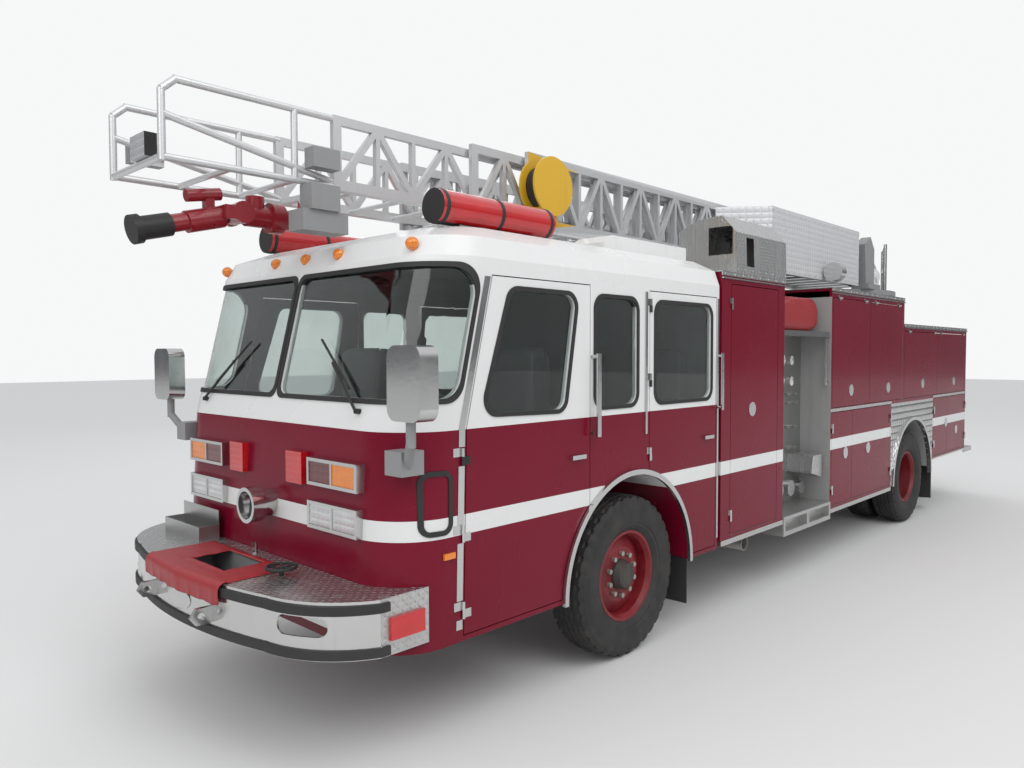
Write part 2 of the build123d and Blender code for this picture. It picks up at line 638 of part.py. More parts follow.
def bumper():
    """Wrapped bumper: folded face, plate deck, hose tray and tow eyes."""
    def outline(inset, z):
        side = body_half - 12 - inset
        front = bumper_front_x - inset
        path = Polyline((bumper_rear_x, -side, z), (4950, -side, z)) \
            + ThreePointArc((4950, -side, z), (5150 - inset * 0.7, -side + 150, z), (5285 - inset, -760, z)) \
            + ThreePointArc((5285 - inset, -760, z), (front, 0, z), (5285 - inset, 760, z)) \
            + ThreePointArc((5285 - inset, 760, z), (5150 - inset * 0.7, side - 150, z), (4950, side, z)) \
            + Polyline((4950, side, z), (bumper_rear_x, side, z), (bumper_rear_x, -side, z))
        return make_face(path)
    deck_z0 = bumper_z1 - deck_sheet
    cab_room = cab_form(-4, cab_bottom_z, 0)
    face = extrude(outline(0, bumper_z0), amount=deck_z0 - bumper_z0, dir=(0, 0, 1))
    face -= extrude(outline(bumper_wall, bumper_z0 - 1), amount=deck_z0 - bumper_z0 + 2, dir=(0, 0, 1))
    face -= cab_room
    face -= block(bumper_rear_x - 1, bumper_rear_x + bumper_wall + 1, -1210, 1210, 0, 2000)
    face -= front_plate([(840, 705), (1080, 705), (1080, 800), (840, 800)], 5000, 5400, 0, 40)
    eye = side_plate([(5340, 660), (5440, 660), (5470, 700), (5440, 745), (5340, 745)], eye_y, eye_y + eye_t)
    eye += block(5302, 5352, eye_y, eye_y + eye_t, 650, 755)
    eye -= rod_y(5415, eye_y - 1, eye_y + eye_t + 1, 702, tow_hole_r)
    for y0, y1 in ((0, 380), (380, 760), (760, 1000), (1000, 1400)):
        piece = face & block(4000, 5500, y0, y1, 0, 2000)
        for z0 in (bumper_z0 + 8, bumper_z1 - 62):
            strip = extrude(outline(-12, z0), amount=44, dir=(0, 0, 1)) - extrude(outline(0, z0 - 1), amount=46, dir=(0, 0, 1))
            strip &= block(4900, 5500, y0, y1, 0, 2000)
            for hand in both(strip):
                add("edge_rubber", *hand.solids())
        if y0 == 0:
            piece += eye
        for hand in both(piece):
            add("bumper", *hand.solids())
    deck = extrude(outline(0, deck_z0), amount=deck_sheet, dir=(0, 0, 1)) - cab_room
    deck -= block(tray_x0, tray_x1, -tray_half, tray_half, deck_z0 - 1, bumper_z1 + 1)
    for cell in (block(4000, tray_x0, -tray_half, tray_half, 0, 2000), block(tray_x1, 5500, -tray_half, tray_half, 0, 2000),
                 block(4000, 5500, tray_half, 1400, 0, 2000), block(4000, 5500, -1400, -tray_half, 0, 2000)):
        add("bumper", *(deck & cell).solids())
    wheel = Pos(5060, 520, bumper_z1 + 46) * Torus(76, 9)
    for turn in (0, 60, 120):
        wheel += Pos(5060, 520, bumper_z1 + 42) * Rot(0, 0, turn) * Box(150, 14, 8)
    add("rubber_trim", wheel + rod_z(5060, 520, bumper_z1, bumper_z1 + 48, 13))
    add("bright_trim", rod_z(4920, -21, bumper_z1, bumper_z1 + 62, 15))
    x0, x1, y0, y1 = bin_box
    for wall in ((x0, x1, y0, y1, 0, 4), (x0, x0 + 4, y0, y1, 4, bin_high), (x1 - 4, x1, y0, y1, 4, 90),
                 (x0 + 4, x1 - 4, y0, y0 + 4, 4, 90), (x0 + 4, x1 - 4, y1 - 4, y1, 4, 90)):
        add("bright_trim", block(*wall[:4], bumper_z1 + wall[4], bumper_z1 + wall[5]))
    for piece in both(block(4690, 4900, body_half - 12, body_half + 4, 665, 775)):
        add("lamps", piece)
    back = block(cab_foot_x + 4, cab_foot_x + 4 + bumper_wall, -860, 860, bumper_z0, deck_z0)
    for notch in both(block(cab_foot_x, cab_foot_x + 20, 412 - run_gap, 470 + run_gap,
                            horn_z0 - run_gap, horn_z1 + run_gap)):
        back -= notch
    add("bumper", back)
    pan_z = bumper_z1 - tray_depth
    wall = deck_sheet
    add("bumper", block(tray_x0 - wall, tray_x1 + wall, -tray_half - wall, tray_half + wall, pan_z - wall, pan_z))
    add("bumper", block(tray_x0 - wall, tray_x0, -tray_half - wall, tray_half + wall, pan_z, deck_z0))
    add("bumper", block(tray_x1, tray_x1 + wall, -tray_half - wall, tray_half + wall, pan_z, deck_z0))
    for piece in both(block(tray_x0, tray_x1, tray_half, tray_half + wall, pan_z, deck_z0)):
        add("bumper", piece)


# Body.
def body():
    """Compartment walls, shelves, posts and roofs, built of flat panels on each side."""
    inner = body_half - bay_depth - 23
    skin = body_half - panel_t
    seam = comp_gap / 2
    shelf0 = upper_sill_z - 44
    shelf1 = upper_sill_z - comp_gap
    walls = []
    # The tall compartment behind the cab.
    t0, t1, tz0, tz1 = tall_door
    walls += [
        (comp_rear_x, comp_front_x, inner, body_half, high_top_z - panel_t, high_top_z),
        (t0 - comp_gap, t1 + comp_gap, skin, body_half, tz1 + comp_gap, high_top_z - panel_t),
        (comp_rear_x, comp_front_x, inner, body_half, tz0 - comp_gap - 24, tz0 - comp_gap),
        (comp_rear_x, comp_front_x, inner, inner + 20, tz0 - comp_gap, high_top_z - panel_t),
        (comp_front_x - panel_t, comp_front_x, inner + 20, body_half, tz0 - comp_gap, high_top_z - panel_t),
        (t1 + comp_gap, comp_front_x - panel_t, skin, body_half, tz0 - comp_gap, high_top_z - panel_t),
        (comp_rear_x, comp_rear_x + panel_t, inner + 20, body_half, tz0 - comp_gap, high_top_z - panel_t),
        (comp_rear_x + panel_t, t0 - comp_gap, skin, body_half, tz0 - comp_gap, high_top_z - panel_t),
    ]
    # The high section behind the pump panel.
    front = high_front_x - 32
    walls += [
        (high_rear_x, high_front_x, inner, body_half, high_top_z - panel_t, high_top_z),
        (high_rear_x, high_front_x, skin, body_half, high_door_z1 + comp_gap, high_top_z - panel_t),
        (front, high_front_x, inner + 20, body_half, body_floor_z, high_door_z1 + comp_gap),
        (high_rear_x, high_rear_x + 44, inner + 20, body_half, shelf1, high_door_z1 + comp_gap),
        (high_rear_x + 44, front, inner + 20, body_half, shelf0, shelf1),
        (high_rear_x, high_front_x, inner, inner + 20, shelf1, high_top_z - panel_t),
        (well_front_x, high_front_x, inner, inner + 20, body_floor_z, shelf1),
        (well_front_x, well_front_x + 29, inner + 20, body_half, body_floor_z, shelf0),
        (well_front_x + 29, front, inner + 20, body_half, body_floor_z, low_door_z0 - comp_gap),
    ]
    # The low section at the rear.
    step = high_rear_x - 24
    rear = low_rear_x + 24
    walls += [
        (low_rear_x, high_rear_x, inner, body_half, low_top_z - panel_t, low_top_z),
        (low_rear_x, high_rear_x, skin, body_half, rear_door_z1 + comp_gap, low_top_z - panel_t),
        (low_rear_x, high_rear_x, inner, inner + 20, shelf1, low_top_z - panel_t),
        (step, high_rear_x, inner + 20, body_half, shelf1, rear_door_z1 + comp_gap),
        (low_rear_x, high_rear_x, inner + 20, body_half, shelf0, shelf1),
        (low_rear_x, rear, inner + 20, body_half, shelf1, rear_door_z1 + comp_gap),
        (low_rear_x, well_rear_x, inner, inner + 20, low_floor_z1, shelf1),
        (low_rear_x, rear, inner + 20, body_half, low_floor_z1, shelf0),
        (well_rear_x - 29, well_rear_x, inner + 20, body_half, low_floor_z1, shelf0),
        (low_rear_x, well_rear_x, inner, body_half, low_floor_z0, low_floor_z1),
    ]
    # Dividers stand behind the seam of each pair of doors.
    for seam_x, z0, z1 in (
        (pair_seam[0], shelf1, high_top_z - panel_t),
        (pair_seam[1], low_door_z0 - comp_gap, shelf0),
        (pair_seam[2], shelf1, low_top_z - panel_t),
        (pair_seam[3], low_floor_z1, shelf0),
    ):
        walls.append((seam_x - 12, seam_x + 12, inner + 20, body_half - comp_door_t - 3, z0, z1))
    for wall in walls:
        for piece in both(block(*wall)):
            add("body_shell", piece)
    # Liner over the twin wheels.
    y0 = rear_tyre_out - 2 * tyre_w - dual_space - 30
    liner = rod_y(rear_arch_x, y0, skin, tyre_r, rear_arch_r + 10)
    liner -= rod_y(rear_arch_x, y0 - 1, skin + 1, tyre_r, rear_arch_r)
    for x0, x1, z0 in ((-800, -400, tyre_r + 60), (-400, -170, tyre_r), (-170, 170, tyre_r), (170, 400, tyre_r),
                       (400, 800, tyre_r + 60)):
        cell = block(rear_arch_x + x0, rear_arch_x + x1, y0 - 5, skin + 5, z0, 1500)
        for piece in both(liner & cell):
            add("body_shell", piece)
    # Floors, bulkheads and bearers between the two sides.
    across = [
        (comp_front_x - panel_t, comp_front_x, 1010, 2600),
        (comp_rear_x, comp_rear_x + panel_t, 1010, 2585),
        (high_front_x - panel_t, high_front_x, 1010, 2585),
        (low_rear_x, low_rear_x + panel_t, 1010, 2150),
    ]
    for x0, x1, z0, z1 in across:
        add("body_shell", block(x0, x1, -inner, inner, z0, z1))
    for x0, x1, z0 in ((high_front_x, comp_front_x - panel_t, 2585), (turn_x + pedestal_r + 8, high_front_x - panel_t, 2200),
                       (low_rear_x, turn_x - pedestal_r - 90, 2150)):
        add("body_shell", block(x0, x1, -inner, inner, z0, z0 + 15))
    for x in (1500, 800, -500, well_front_x + 205, rear_axle_x - 920, rear_axle_x - 2120):
        add("body_shell", block(x - 40, x + 40, -inner, inner, rail_z1, 1010))


tall_door = (790, 1600, 612, 2560)
high_door_z1 = 2560
low_door_z0 = 551
low_door_z1 = 1450
rear_door_z1 = 2275
rear_low_z0 = 720
pair_seam = (high_front_x - 1038, high_front_x - 561, rear_axle_x - 940, rear_axle_x - 1430)

# Each compartment door: name, front edge, rear edge, bottom, top, hinge side.
comp_doors = [
    ("tall", tall_door[1], tall_door[0], tall_door[2], tall_door[3], "front"),
    ("high_a", high_front_x - 38, pair_seam[0] + 3, upper_sill_z, high_door_z1, "top"),
    ("high_b", pair_seam[0] - 3, high_rear_x + 50, upper_sill_z, high_door_z1, "top"),
    ("mid_a", high_front_x - 38, pair_seam[1] + 3, low_door_z0, low_door_z1, "front"),
    ("mid_b", pair_seam[1] - 3, well_front_x + 35, low_door_z0, low_door_z1, "rear"),
    ("rear_a", high_rear_x - 30, pair_seam[2] + 3, upper_sill_z, rear_door_z1, "top"),
    ("rear_b", pair_seam[2] - 3, low_rear_x + 30, upper_sill_z, rear_door_z1, "top"),
    ("tail_a", well_rear_x - 35, pair_seam[3] + 3, rear_low_z0, low_door_z1, "front"),
    ("tail_b", pair_seam[3] - 3, low_rear_x + 30, rear_low_z0, low_door_z1, "rear"),
]


def compartment_doors():
    """Flush pan doors, nine on each side, each with a round latch plate."""
    # How far each latch stands forward of its leaf's middle, and how high.
    latches = {
        "tall": (51, 1577), "high_a": (21.5, 1655), "high_b": (-50.5, 1645), "mid_a": (-89, 1034),
        "mid_b": (119, 1029), "rear_a": (-45.5, 1655), "rear_b": (-87.5, 1650), "tail_a": (-240.5, 1110),
        "tail_b": (1.5, 983),
    }
    for name, front, rear, z0, z1, hinge in comp_doors:
        leaf = block(rear, front, body_half - comp_door_t, body_half, z0, z1)
        ahead, z = latches[name]
        leaf += rod_y((front + rear) / 2 + ahead, body_half - 1, body_half + 5, z, 58)
        if hinge == "top":
            leaf = fit_hinges(leaf, "top", z1 + comp_gap / 2, (rear + 150, front - 150), body_half, 24)
        else:
            line = front + comp_gap / 2 if hinge == "front" else rear - comp_gap / 2
            leaf = fit_hinges(leaf, hinge, line, (z0 + 150, z1 - 150), body_half, 24)
        for side, word in ((1, "left"), (-1, "right")):
            add("bay_%s_%s" % (name, word), leaf if side > 0 else mirror(leaf, about=Plane.XZ))


def plates():
    """Tread-plate and bright sheet pieces: caps, boxes, wheel panels, steps and tailboard."""
    edge = body_half + 6
    inner = body_half - bay_depth - 23
    for x0, x1, z in ((comp_rear_x - 6, comp_front_x + 6, high_top_z),
                      (high_rear_x, high_front_x + 6, high_top_z), (low_rear_x - 4, high_rear_x, low_top_z)):
        for piece in both(block(x0, x1, inner, edge, z, z + 8)):
            add("body_plates", piece)
        for piece in both(block(x0, x1, body_half, edge, z - 28, z)):
            add("body_plates", piece)
    # Drip strips over the upper doors and a bright band over the lower ones.
    for x0, x1, z in ((comp_rear_x, comp_front_x, high_door_z1), (high_rear_x, high_front_x, high_door_z1),
                      (low_rear_x, high_rear_x - 1, rear_door_z1)):
        for piece in both(block(x0, x1, body_half, body_half + 14, z + 40, z + 50)):
            add("bright_trim", piece)
    for x0, x1 in ((well_front_x, high_front_x), (low_rear_x, well_rear_x)):
        for piece in both(block(x0, x1, body_half, body_half + 3, low_door_z1 + 8, upper_sill_z - 12)):
            add("bright_trim", piece)
    # Rear lamps and grab rails.
    for z in (920, 1080, 1240):
        for piece in both(block(low_rear_x - 22, low_rear_x, 960, 1110, z, z + 130)):
            add("lamps", piece)
    for x, y, way, z0, z1 in ((low_rear_x, 1180, -1, 900, 1800), (high_front_x, 1205, 1, 1720, 2165)):
        rail = rod_z(x + way * 50, y, z0, z1, 15)
        for z in (z0 + 30, z1 - 30):
            rail += rod_x(*sorted((x, x + way * 50)), y, z, 12)
        add("bright_trim", *both(rail))
    # Hollow light box on the tall compartment.
    outline = [(722, 0), (719, 366), (867, 436), (966, 452), (1107, 458), (1228, 318), (1238, 0)]
    foot = high_top_z + 8
    points = [(y, foot + z) for y, z in outline]
    box = front_plate(points, comp_rear_x - 30, comp_front_x - 230)
    box -= front_plate(points, comp_rear_x - 26, comp_front_x - 234, -4)
    box -= block(comp_front_x - 240, comp_front_x - 220, 990, 1200, foot + 150, foot + 370)
    box -= block(comp_rear_x + 560, comp_rear_x + 690, 1180, 1300, foot + 60, foot + 290)
    for piece in both(box):
        add("body_plates", piece)
    # Wheel-well panel round the rear arch, in three pieces.
    y0 = body_half - panel_t
    top = upper_sill_z - 44
    arch = rod_y(rear_arch_x, y0 - 1, edge, tyre_r, rear_arch_r)
    low = block(well_rear_x, well_front_x, y0, body_half, body_floor_z, top) - arch
    low -= block(well_rear_x - 1, well_front_x + 1, y0 - 1, edge, 0, tyre_r - 20) & arch
    for x0, x1, z0, z1 in ((-2000, 2000, tyre_r + rear_arch_r * 0.75, 2000), (0, 2000, 0, tyre_r + rear_arch_r * 0.75),
                           (-2000, 0, 0, tyre_r + rear_arch_r * 0.75)):
        cell = block(rear_arch_x + x0, rear_arch_x + x1, y0 - 5, edge + 5, z0, z1)
        for piece in both(low & cell):
            add("body_plates", *piece.solids())
    # Running board under the pump panel, with its two slotted trays.
    board = block(high_front_x + 4, comp_rear_x - 4, recess_y, body_half + 12, 430, 600)
    board -= block(high_front_x + 40, 120, body_half - 60, body_half + 20, 470, 570)
    board -= block(170, comp_rear_x - 40, body_half - 60, body_half + 20, 470, 570)
    for piece in both(board):
        add("body_plates", piece)
    for piece in both(side_plate([(-300, 1060), (-90, 1060), (-60, 900), (-300, 840)], recess_y, 1190)):
        add("body_plates", piece)
    # Sills below the lower doors, the tailboard and its end returns.
    for x0, x1, z, height in ((well_front_x, high_front_x, body_floor_z, 40),
                              (comp_rear_x, comp_front_x, tall_door[2] - 30, 40),
                              (low_rear_x, well_rear_x, low_floor_z0, 18)):
        for piece in both(block(x0, x1, body_half - 60, edge, z - height, z)):
            add("body_plates", piece)
    board = block(tail_x, low_rear_x - 6, -1225, 1225, tail_z1 - 6, tail_z1)
    board += block(tail_x, tail_x + 6, -1225, 1225, tail_z1 - 60, tail_z1)
    for side in (1, -1):
        y0, y1 = sorted((side * 1219, side * 1225))
        board += block(tail_x, low_rear_x - 6, y0, y1, tail_z1 - 60, tail_z1)
    for side in (1, -1):
        y0, y1 = sorted((side * 385, side * 475))
        board -= block(frame_rear_x - 1, low_rear_x, y0, y1, tail_z1 - 0.3, tail_z1 + 1)
    add("body_plates", board)


def pump_panel():
    """Operator's panel in each recess: backing plate, gauges, pull rods, ports and shelf."""
    y0 = recess_y - 15
    for side in (1, -1):
        def put(solid):
            add("pump_panel", solid if side > 0 else mirror(solid, about=Plane.XZ))
        back = block(high_front_x, comp_rear_x, y0, recess_y, 470, 2440)
        gauges = [(300, 1960, 62), (80, 1960, 62), (-120, 1960, 48), (300, 1760, 55), (80, 1760, 48), (-120, 1760, 48)]
        for x, z, r in gauges:
            back += rod_y(x, recess_y - 1, recess_y + 22, z, r)
        for row, z in enumerate((1640, 1560, 1330, 1130)):
            for x in (330, 190, 50, -110):
                back += rod_y(x, recess_y - 1, recess_y + 60, z, 9)
                back += rod_x(x - 38, x + 38, recess_y + 60, z, 13)
        for x, z, r in ((300, 760, 62), (60, 760, 62), (-180, 740, 48), (300, 980, 48)):
            back += rod_y(x, recess_y - 1, recess_y + 70, z, r)
            back += rod_y(x, recess_y + 70, recess_y + 110, z, r + 14)
        put(back)
        put(block(high_front_x + 2, comp_rear_x - 2, recess_y, body_half - 10, 2180, 2230))


# Turntable and ladder.
def truss(x0, x1, z0, z1, out_y, lower_h, upper_h, bays, heel=0):
    """One side of a ladder section: two chords with uprights and diagonals between them."""
    outline = [(x0, z0), (x1, z0), (x1, z1), (x0 + heel, z1), (x0, z1 - heel * 0.72)]
    if not heel:
        outline = [(x0, z0), (x1, z0), (x1, z1), (x0, z1)]
    face = side_face(outline, out_y - truss_t)
    low = z0 + lower_h
    high = z1 - upper_h
    first = x0 + (heel + 60 if heel else 40)
    pitch = (x1 - 40 - first) / bays
    web = 30
    holes = []
    for i in range(bays):
        a = first + i * pitch + web / 2
        b = first + (i + 1) * pitch - web / 2
        slope = web * 0.9
        if i % 2 == 0:
            tris = [[(a, low + slope), (a, high), (b - slope, high)], [(a + slope, low), (b, low), (b, high - slope)]]
        else:
            tris = [[(a, low), (a, high - slope), (b - slope, low)], [(a + slope, high), (b, high), (b, low + slope)]]
        for tri in tris:
            holes.append(side_face(tri, out_y - truss_t))
    return extrude(face - holes, amount=truss_t, dir=(0, 1, 0))


def rungs(x0, x1, z, half, edge_w):
    """Rungs of a section and the two flanges that carry them."""
    solids = both(block(x0, x1, half - edge_w, half, z - rung_r, z + rung_r))
    count = int((x1 - x0 - 120) / rung_pitch)
    for i in range(count + 1):
        solids.append(rod_y(x0 + 60 + i * rung_pitch, -half + edge_w, half - edge_w, z, rung_r))
    return solids


def turntable():
    """Turning deck with its side beams, heel brackets, console and guard rails."""
    deck = Pos(turn_x, 0, deck_z + deck_t / 2) * Cylinder(deck_r, deck_t)
    deck += block(heel_x - 120, turn_x, -560, 560, deck_z, deck_z + deck_t)
    deck -= Pos(turn_x, 0, deck_z + 10) * Cylinder(deck_r - 40, 60)
    deck += Pos(turn_x, 0, deck_z + 24) * Cylinder(pedestal_r + 60, 48)
    add("turntable", deck)
    top = deck_z + deck_t
    plate_y = base_out_y + 8
    for side in (1, -1):
        ear = side_plate([(heel_x - 100, top), (heel_x + 700, top), (heel_x + 110, heel_z + 70),
                          (heel_x, heel_z + 105), (heel_x - 90, heel_z + 60)], plate_y, plate_y + 22)
        ear += rod_y(heel_x, base_out_y - truss_t - 10, plate_y + 40, heel_z, heel_pin_r)
        ear += rod_y(heel_x, plate_y - 5, plate_y + 45, heel_z, heel_pin_r + 32)
        foot = rod_y(barrel_foot_x, cyl_y - 60, cyl_y + 60, barrel_foot_z, 30)
        for y in (cyl_y - 74, cyl_y + 50):
            foot += block(barrel_foot_x - 60, barrel_foot_x + 60, y, y + 24, top, barrel_foot_z + 55)
        for solid in (ear, foot):
            add("turntable", solid if side > 0 else mirror(solid, about=Plane.XZ))
    console = block(turn_x + 180, turn_x + 560, 700, 900, top, top + 60)
    console += side_plate([(turn_x + 250, top + 60), (turn_x + 520, top + 60), (turn_x + 560, top + 520),
                           (turn_x + 380, top + 620), (turn_x + 250, top + 480)], 740, 850)
    add("turntable", console)
    rail = rod_z(turn_x + 40, 905, top, top + 560, 19) + rod_z(turn_x - 640, 650, top, top + 560, 19)
    rail += bar((turn_x + 40, 905, top + 530), (turn_x - 640, 650, top + 530), 16)
    rail += bar((turn_x + 40, 905, top + 280), (turn_x - 640, 650, top + 280), 14)
    add("turntable", rail)


def ladder():
    """Three nested ladder sections, with guides, shields, winch, tip cage and monitor."""
    mid_z0 = base_z0 + section_rise
    fly_z0 = mid_z0 + section_rise
    flange = 46
    heel_slope = 470
    for side in (1, -1):
        def put(name, solid):
            add(name, solid if side > 0 else mirror(solid, about=Plane.XZ))
        side_base = truss(heel_x - 160, base_front_x, base_z0, base_top_z, base_out_y, 90, 62, 24, heel_slope)
        side_base += side_plate([(heel_x - 160, base_z0), (heel_x + 420, base_z0), (heel_x + 420, base_z0 + 320),
                                 (heel_x - 100, base_z0 + 250)], base_out_y - truss_t, base_out_y)
        side_base -= rod_y(heel_x, base_out_y - truss_t - 1, base_out_y + 1, heel_z, heel_pin_r + run_gap)
        put("ladder_base", side_base)
        put("ladder_mid", truss(mid_rear_x, mid_front_x, mid_z0, mid_top_z, mid_out_y, 70, 56, 26))
        put("ladder_fly", truss(fly_rear_x, fly_front_x, fly_z0, fly_top_z, fly_out_y, 62, 50, 28))
        # Slide pads carry each section on the one outside it.
        for name, x, z0, y in (("ladder_base", base_front_x, mid_z0, mid_out_y), ("ladder_mid", mid_front_x, fly_z0, fly_out_y)):
            put(name, block(x - 200, x - 60, y - truss_t, y + nest_gap, z0 - 12, z0 - run_gap))
        # Brackets to the lifting rods.
        lug = block(rod_eye_x - 60, rod_eye_x + 60, base_out_y, cyl_y - 40, rod_eye_z - 55, rod_eye_z + 55)
        put("ladder_base", lug)
        # Sheet shields beside the base section.
        put("ladder_base", block(shield_x1, shield_x0, shield_y - sheet_t, shield_y, shield_z0, shield_z1))
        put("ladder_base", block(shield_x1, shield_x0, base_out_y, shield_y, shield_z1, shield_z1 + sheet_t))
        corners = [(shield_x0, shield_y - sheet_t), (shield_x0, shield_y), (shield_nose_x, base_out_y),
                   (shield_nose_x - 12, base_out_y)]
        nose = make_face(Polyline(*[(x, y, shield_z0 + 100) for x, y in corners], close=True))
        put("ladder_base", extrude(nose, amount=shield_z1 - shield_z0 - 100, dir=(0, 0, 1)))
        lamp = rod_x(shield_x1 + 915, shield_x1 + 1040, 960, 2880, 98)
        lamp += block(shield_x1 + 955, shield_x1 + 995, shield_y, 900, 2850, 2910)
        put("ladder_base", lamp)
    add("ladder_base", *rungs(heel_x + 250, base_front_x - 20, base_z0 + rung_r, base_out_y - truss_t, flange))
    add("ladder_mid", *rungs(mid_rear_x + 20, mid_front_x - 20, mid_z0 + rung_r, mid_out_y - truss_t, flange - 8))
    fly_in_y = fly_out_y - truss_t
    add("ladder_fly", *rungs(fly_rear_x + 20, fly_front_x - 90, fly_z0 + rung_r, fly_in_y, flange - 16))
    inlet = block(fly_front_x - 70, fly_front_x - 20, -fly_in_y, fly_in_y, fly_z0, fly_z0 + 2 * rung_r)
    # Tip cage of bent tube.
    tube = 19
    y = fly_out_y - tube
    low = fly_z0 + tube
    mid_rail = 3200
    high = fly_top_z - tube
    for piece in both(
        bar((fly_front_x - 30, y, low), (tip_x - 20, y, low), tube)
        + bar((tip_x - 20, y, low - tube), (tip_x - 20, y, high - 60), tube)
        + bar((tip_x - 20, y, high - 62), (tip_x - 90, y, high), tube)
        + bar((tip_x - 80, y, high), (fly_front_x - 30, y, high), tube)
        + bar((tip_x - 20, y, mid_rail), (fly_front_x - 30, y, low + 20), tube)
        + bar((4830, y, low), (4830, y, high), tube)
    ):
        add("ladder_fly", piece)
    cross = rod_y(tip_x - 20, -y + tube - 1, y - tube + 1, low, tube)
    add("ladder_fly", cross)
    for x in (4830, 5200):
        add("ladder_fly", rod_y(x, -y + tube - 2, y - tube + 2, low, tube - 3))
    # Waterway and its flange under the fly section, then the monitor.
    pipe_z = 2820
    inlet += rod_x(4500, 4780, 0, pipe_z, 60) + rod_x(4740, 4780, 0, pipe_z, 88)
    inlet += block(fly_front_x - 70, fly_front_x - 20, -90, 90, pipe_z + 40, fly_z0 + 1)
    add("ladder_fly", block(4605, 4790, 300, 420, 2830, fly_z0), block(4605, 4778, fly_out_y - 1.4, 425, 3060, 3170),
        block(4540, 4832, 250, 400, 2712, 2830), block(5272, 5457, -405, -fly_out_y, 3090, 3210),
        block(5527, 5590, 20, 200, low + tube, 3128))
    body_pipe = rod_x(4780, 4960, 0, pipe_z, 62) + rod_x(4780, 4820, 0, pipe_z, 88)
    body_pipe += rod_z(4900, 0, pipe_z, pipe_z + 110, 52) + rod_y(monitor_x, -64, 64, pipe_z, 58)
    add("ladder_fly", inlet + body_pipe)
    nozzle = bar((monitor_x + 66, 0, pipe_z - 17), (monitor_x + 470, 0, pipe_z - 123), 48)
    nozzle += bar((5390, 0, pipe_z - 102), (5560, 0, pipe_z - 146), 62)
    nozzle += bar((5545, 0, pipe_z - 142), (5586, 0, pipe_z - 153), 76)
    nozzle += bar((5100, 0, pipe_z - 26), (5300, 0, pipe_z - 79), 60)
    nozzle += bar((5110, 0, pipe_z + 96), (5300, 0, pipe_z + 62), 34)
    nozzle += block(5150, 5200, -24, 24, pipe_z - 20, pipe_z + 84)
    nozzle += rod_y(monitor_x, 64 + run_gap, 92, pipe_z, 62) + rod_y(monitor_x, -92, -64 - run_gap, pipe_z, 62)
    nozzle += block(monitor_x, monitor_x + 110, 64 + run_gap, 92, pipe_z - 45, pipe_z + 30)
    nozzle += block(monitor_x, monitor_x + 110, -92, -64 - run_gap, pipe_z - 45, pipe_z + 30)
    nozzle += block(monitor_x + 80, monitor_x + 110, -92, 92, pipe_z - 45, pipe_z + 30)
    add("monitor", nozzle)
    # Reel near the front of the base section.
    drum = rod_y(2960, base_out_y + 10, base_out_y + 150, 3200, 150) + rod_y(2960, base_out_y + 8, base_out_y + 22, 3200, 205)
    drum += rod_y(2960, base_out_y + 138, base_out_y + 152, 3200, 205)
    drum += block(2900, 3020, base_out_y, base_out_y + 12, 3040, 3360)
    add("ladder_base", drum)


def cylinders():
    """Lifting cylinders beside the ladder: barrels on the turntable and their rods."""
    run = Vector(rod_eye_x - barrel_foot_x, 0, rod_eye_z - barrel_foot_z)
    length = run.length
    unit = run.normalized()
    def along(t):
        return (barrel_foot_x + unit.X * t, cyl_y, barrel_foot_z + unit.Z * t)
    barrel_end = length - 220
    barrel = bar(along(95), along(barrel_end), barrel_r) + bar(along(-52), along(100), 46)
    barrel += rod_y(barrel_foot_x, cyl_y - 46, cyl_y + 46, barrel_foot_z, 52)
    barrel -= rod_y(barrel_foot_x, cyl_y - 60, cyl_y + 60, barrel_foot_z, 30 + run_gap)
    barrel -= bar(along(400), along(barrel_end + 10), rod_r + run_gap)
    rod = bar(along(barrel_end - 1100), along(length - 20), rod_r)
    rod += rod_y(rod_eye_x, cyl_y - 40 + run_gap, cyl_y + 40, rod_eye_z, 50)
    for piece in both(barrel):
        add("lift_barrels", piece)
    for piece in both(rod):
        add("lift_rods", piece)


def stabilizers():
    """Crosswise beams with their legs, in a twin housing under the rails."""
    wall = 8
    clear = 5.7
    half = rear_tyre_out - 200
    centre_x = rear_axle_x - 1035
    beam_x = centre_x + wall / 2 + clear + beam_w / 2
    lane = beam_w + 2 * clear
    z0 = beam_z0 - run_gap
    z1 = rail_z0 - wall
    housing = block(centre_x - lane - 1.5 * wall, centre_x + lane + 1.5 * wall, -560, 560, z0 - wall, rail_z0)
    for x in (centre_x - lane / 2 - wall / 2, centre_x + lane / 2 + wall / 2):
        housing -= block(x - lane / 2, x + lane / 2, -600, 600, z0, z1)
    add("chassis_frame", housing)
    for side, word in ((1, "left"), (-1, "right")):
        x = centre_x + side * (lane / 2 + wall / 2)
        y_end = 1140
        beam = block(x - beam_w / 2, x + beam_w / 2, -420, y_end - 120, beam_z0, beam_z1)
        case = block(x - 60, x + 60, y_end - 120, y_end, 300, beam_z1)
        case -= block(x - 46, x + 46, y_end - 106, y_end - 14, 290, beam_z1 - 20)
        leg = block(x - 45.7, x + 45.7, y_end - 105.7, y_end - 14.3, 180, 600)
        foot = rod_z(x, y_end - 60, 160, 181, 105)
        if side < 0:
            beam, case, leg, foot = [mirror(solid, about=Plane.XZ) for solid in (beam, case, leg, foot)]
        add("stabilizer_beam_" + word, beam + case)
        add("stabilizer_leg_" + word, leg + foot)


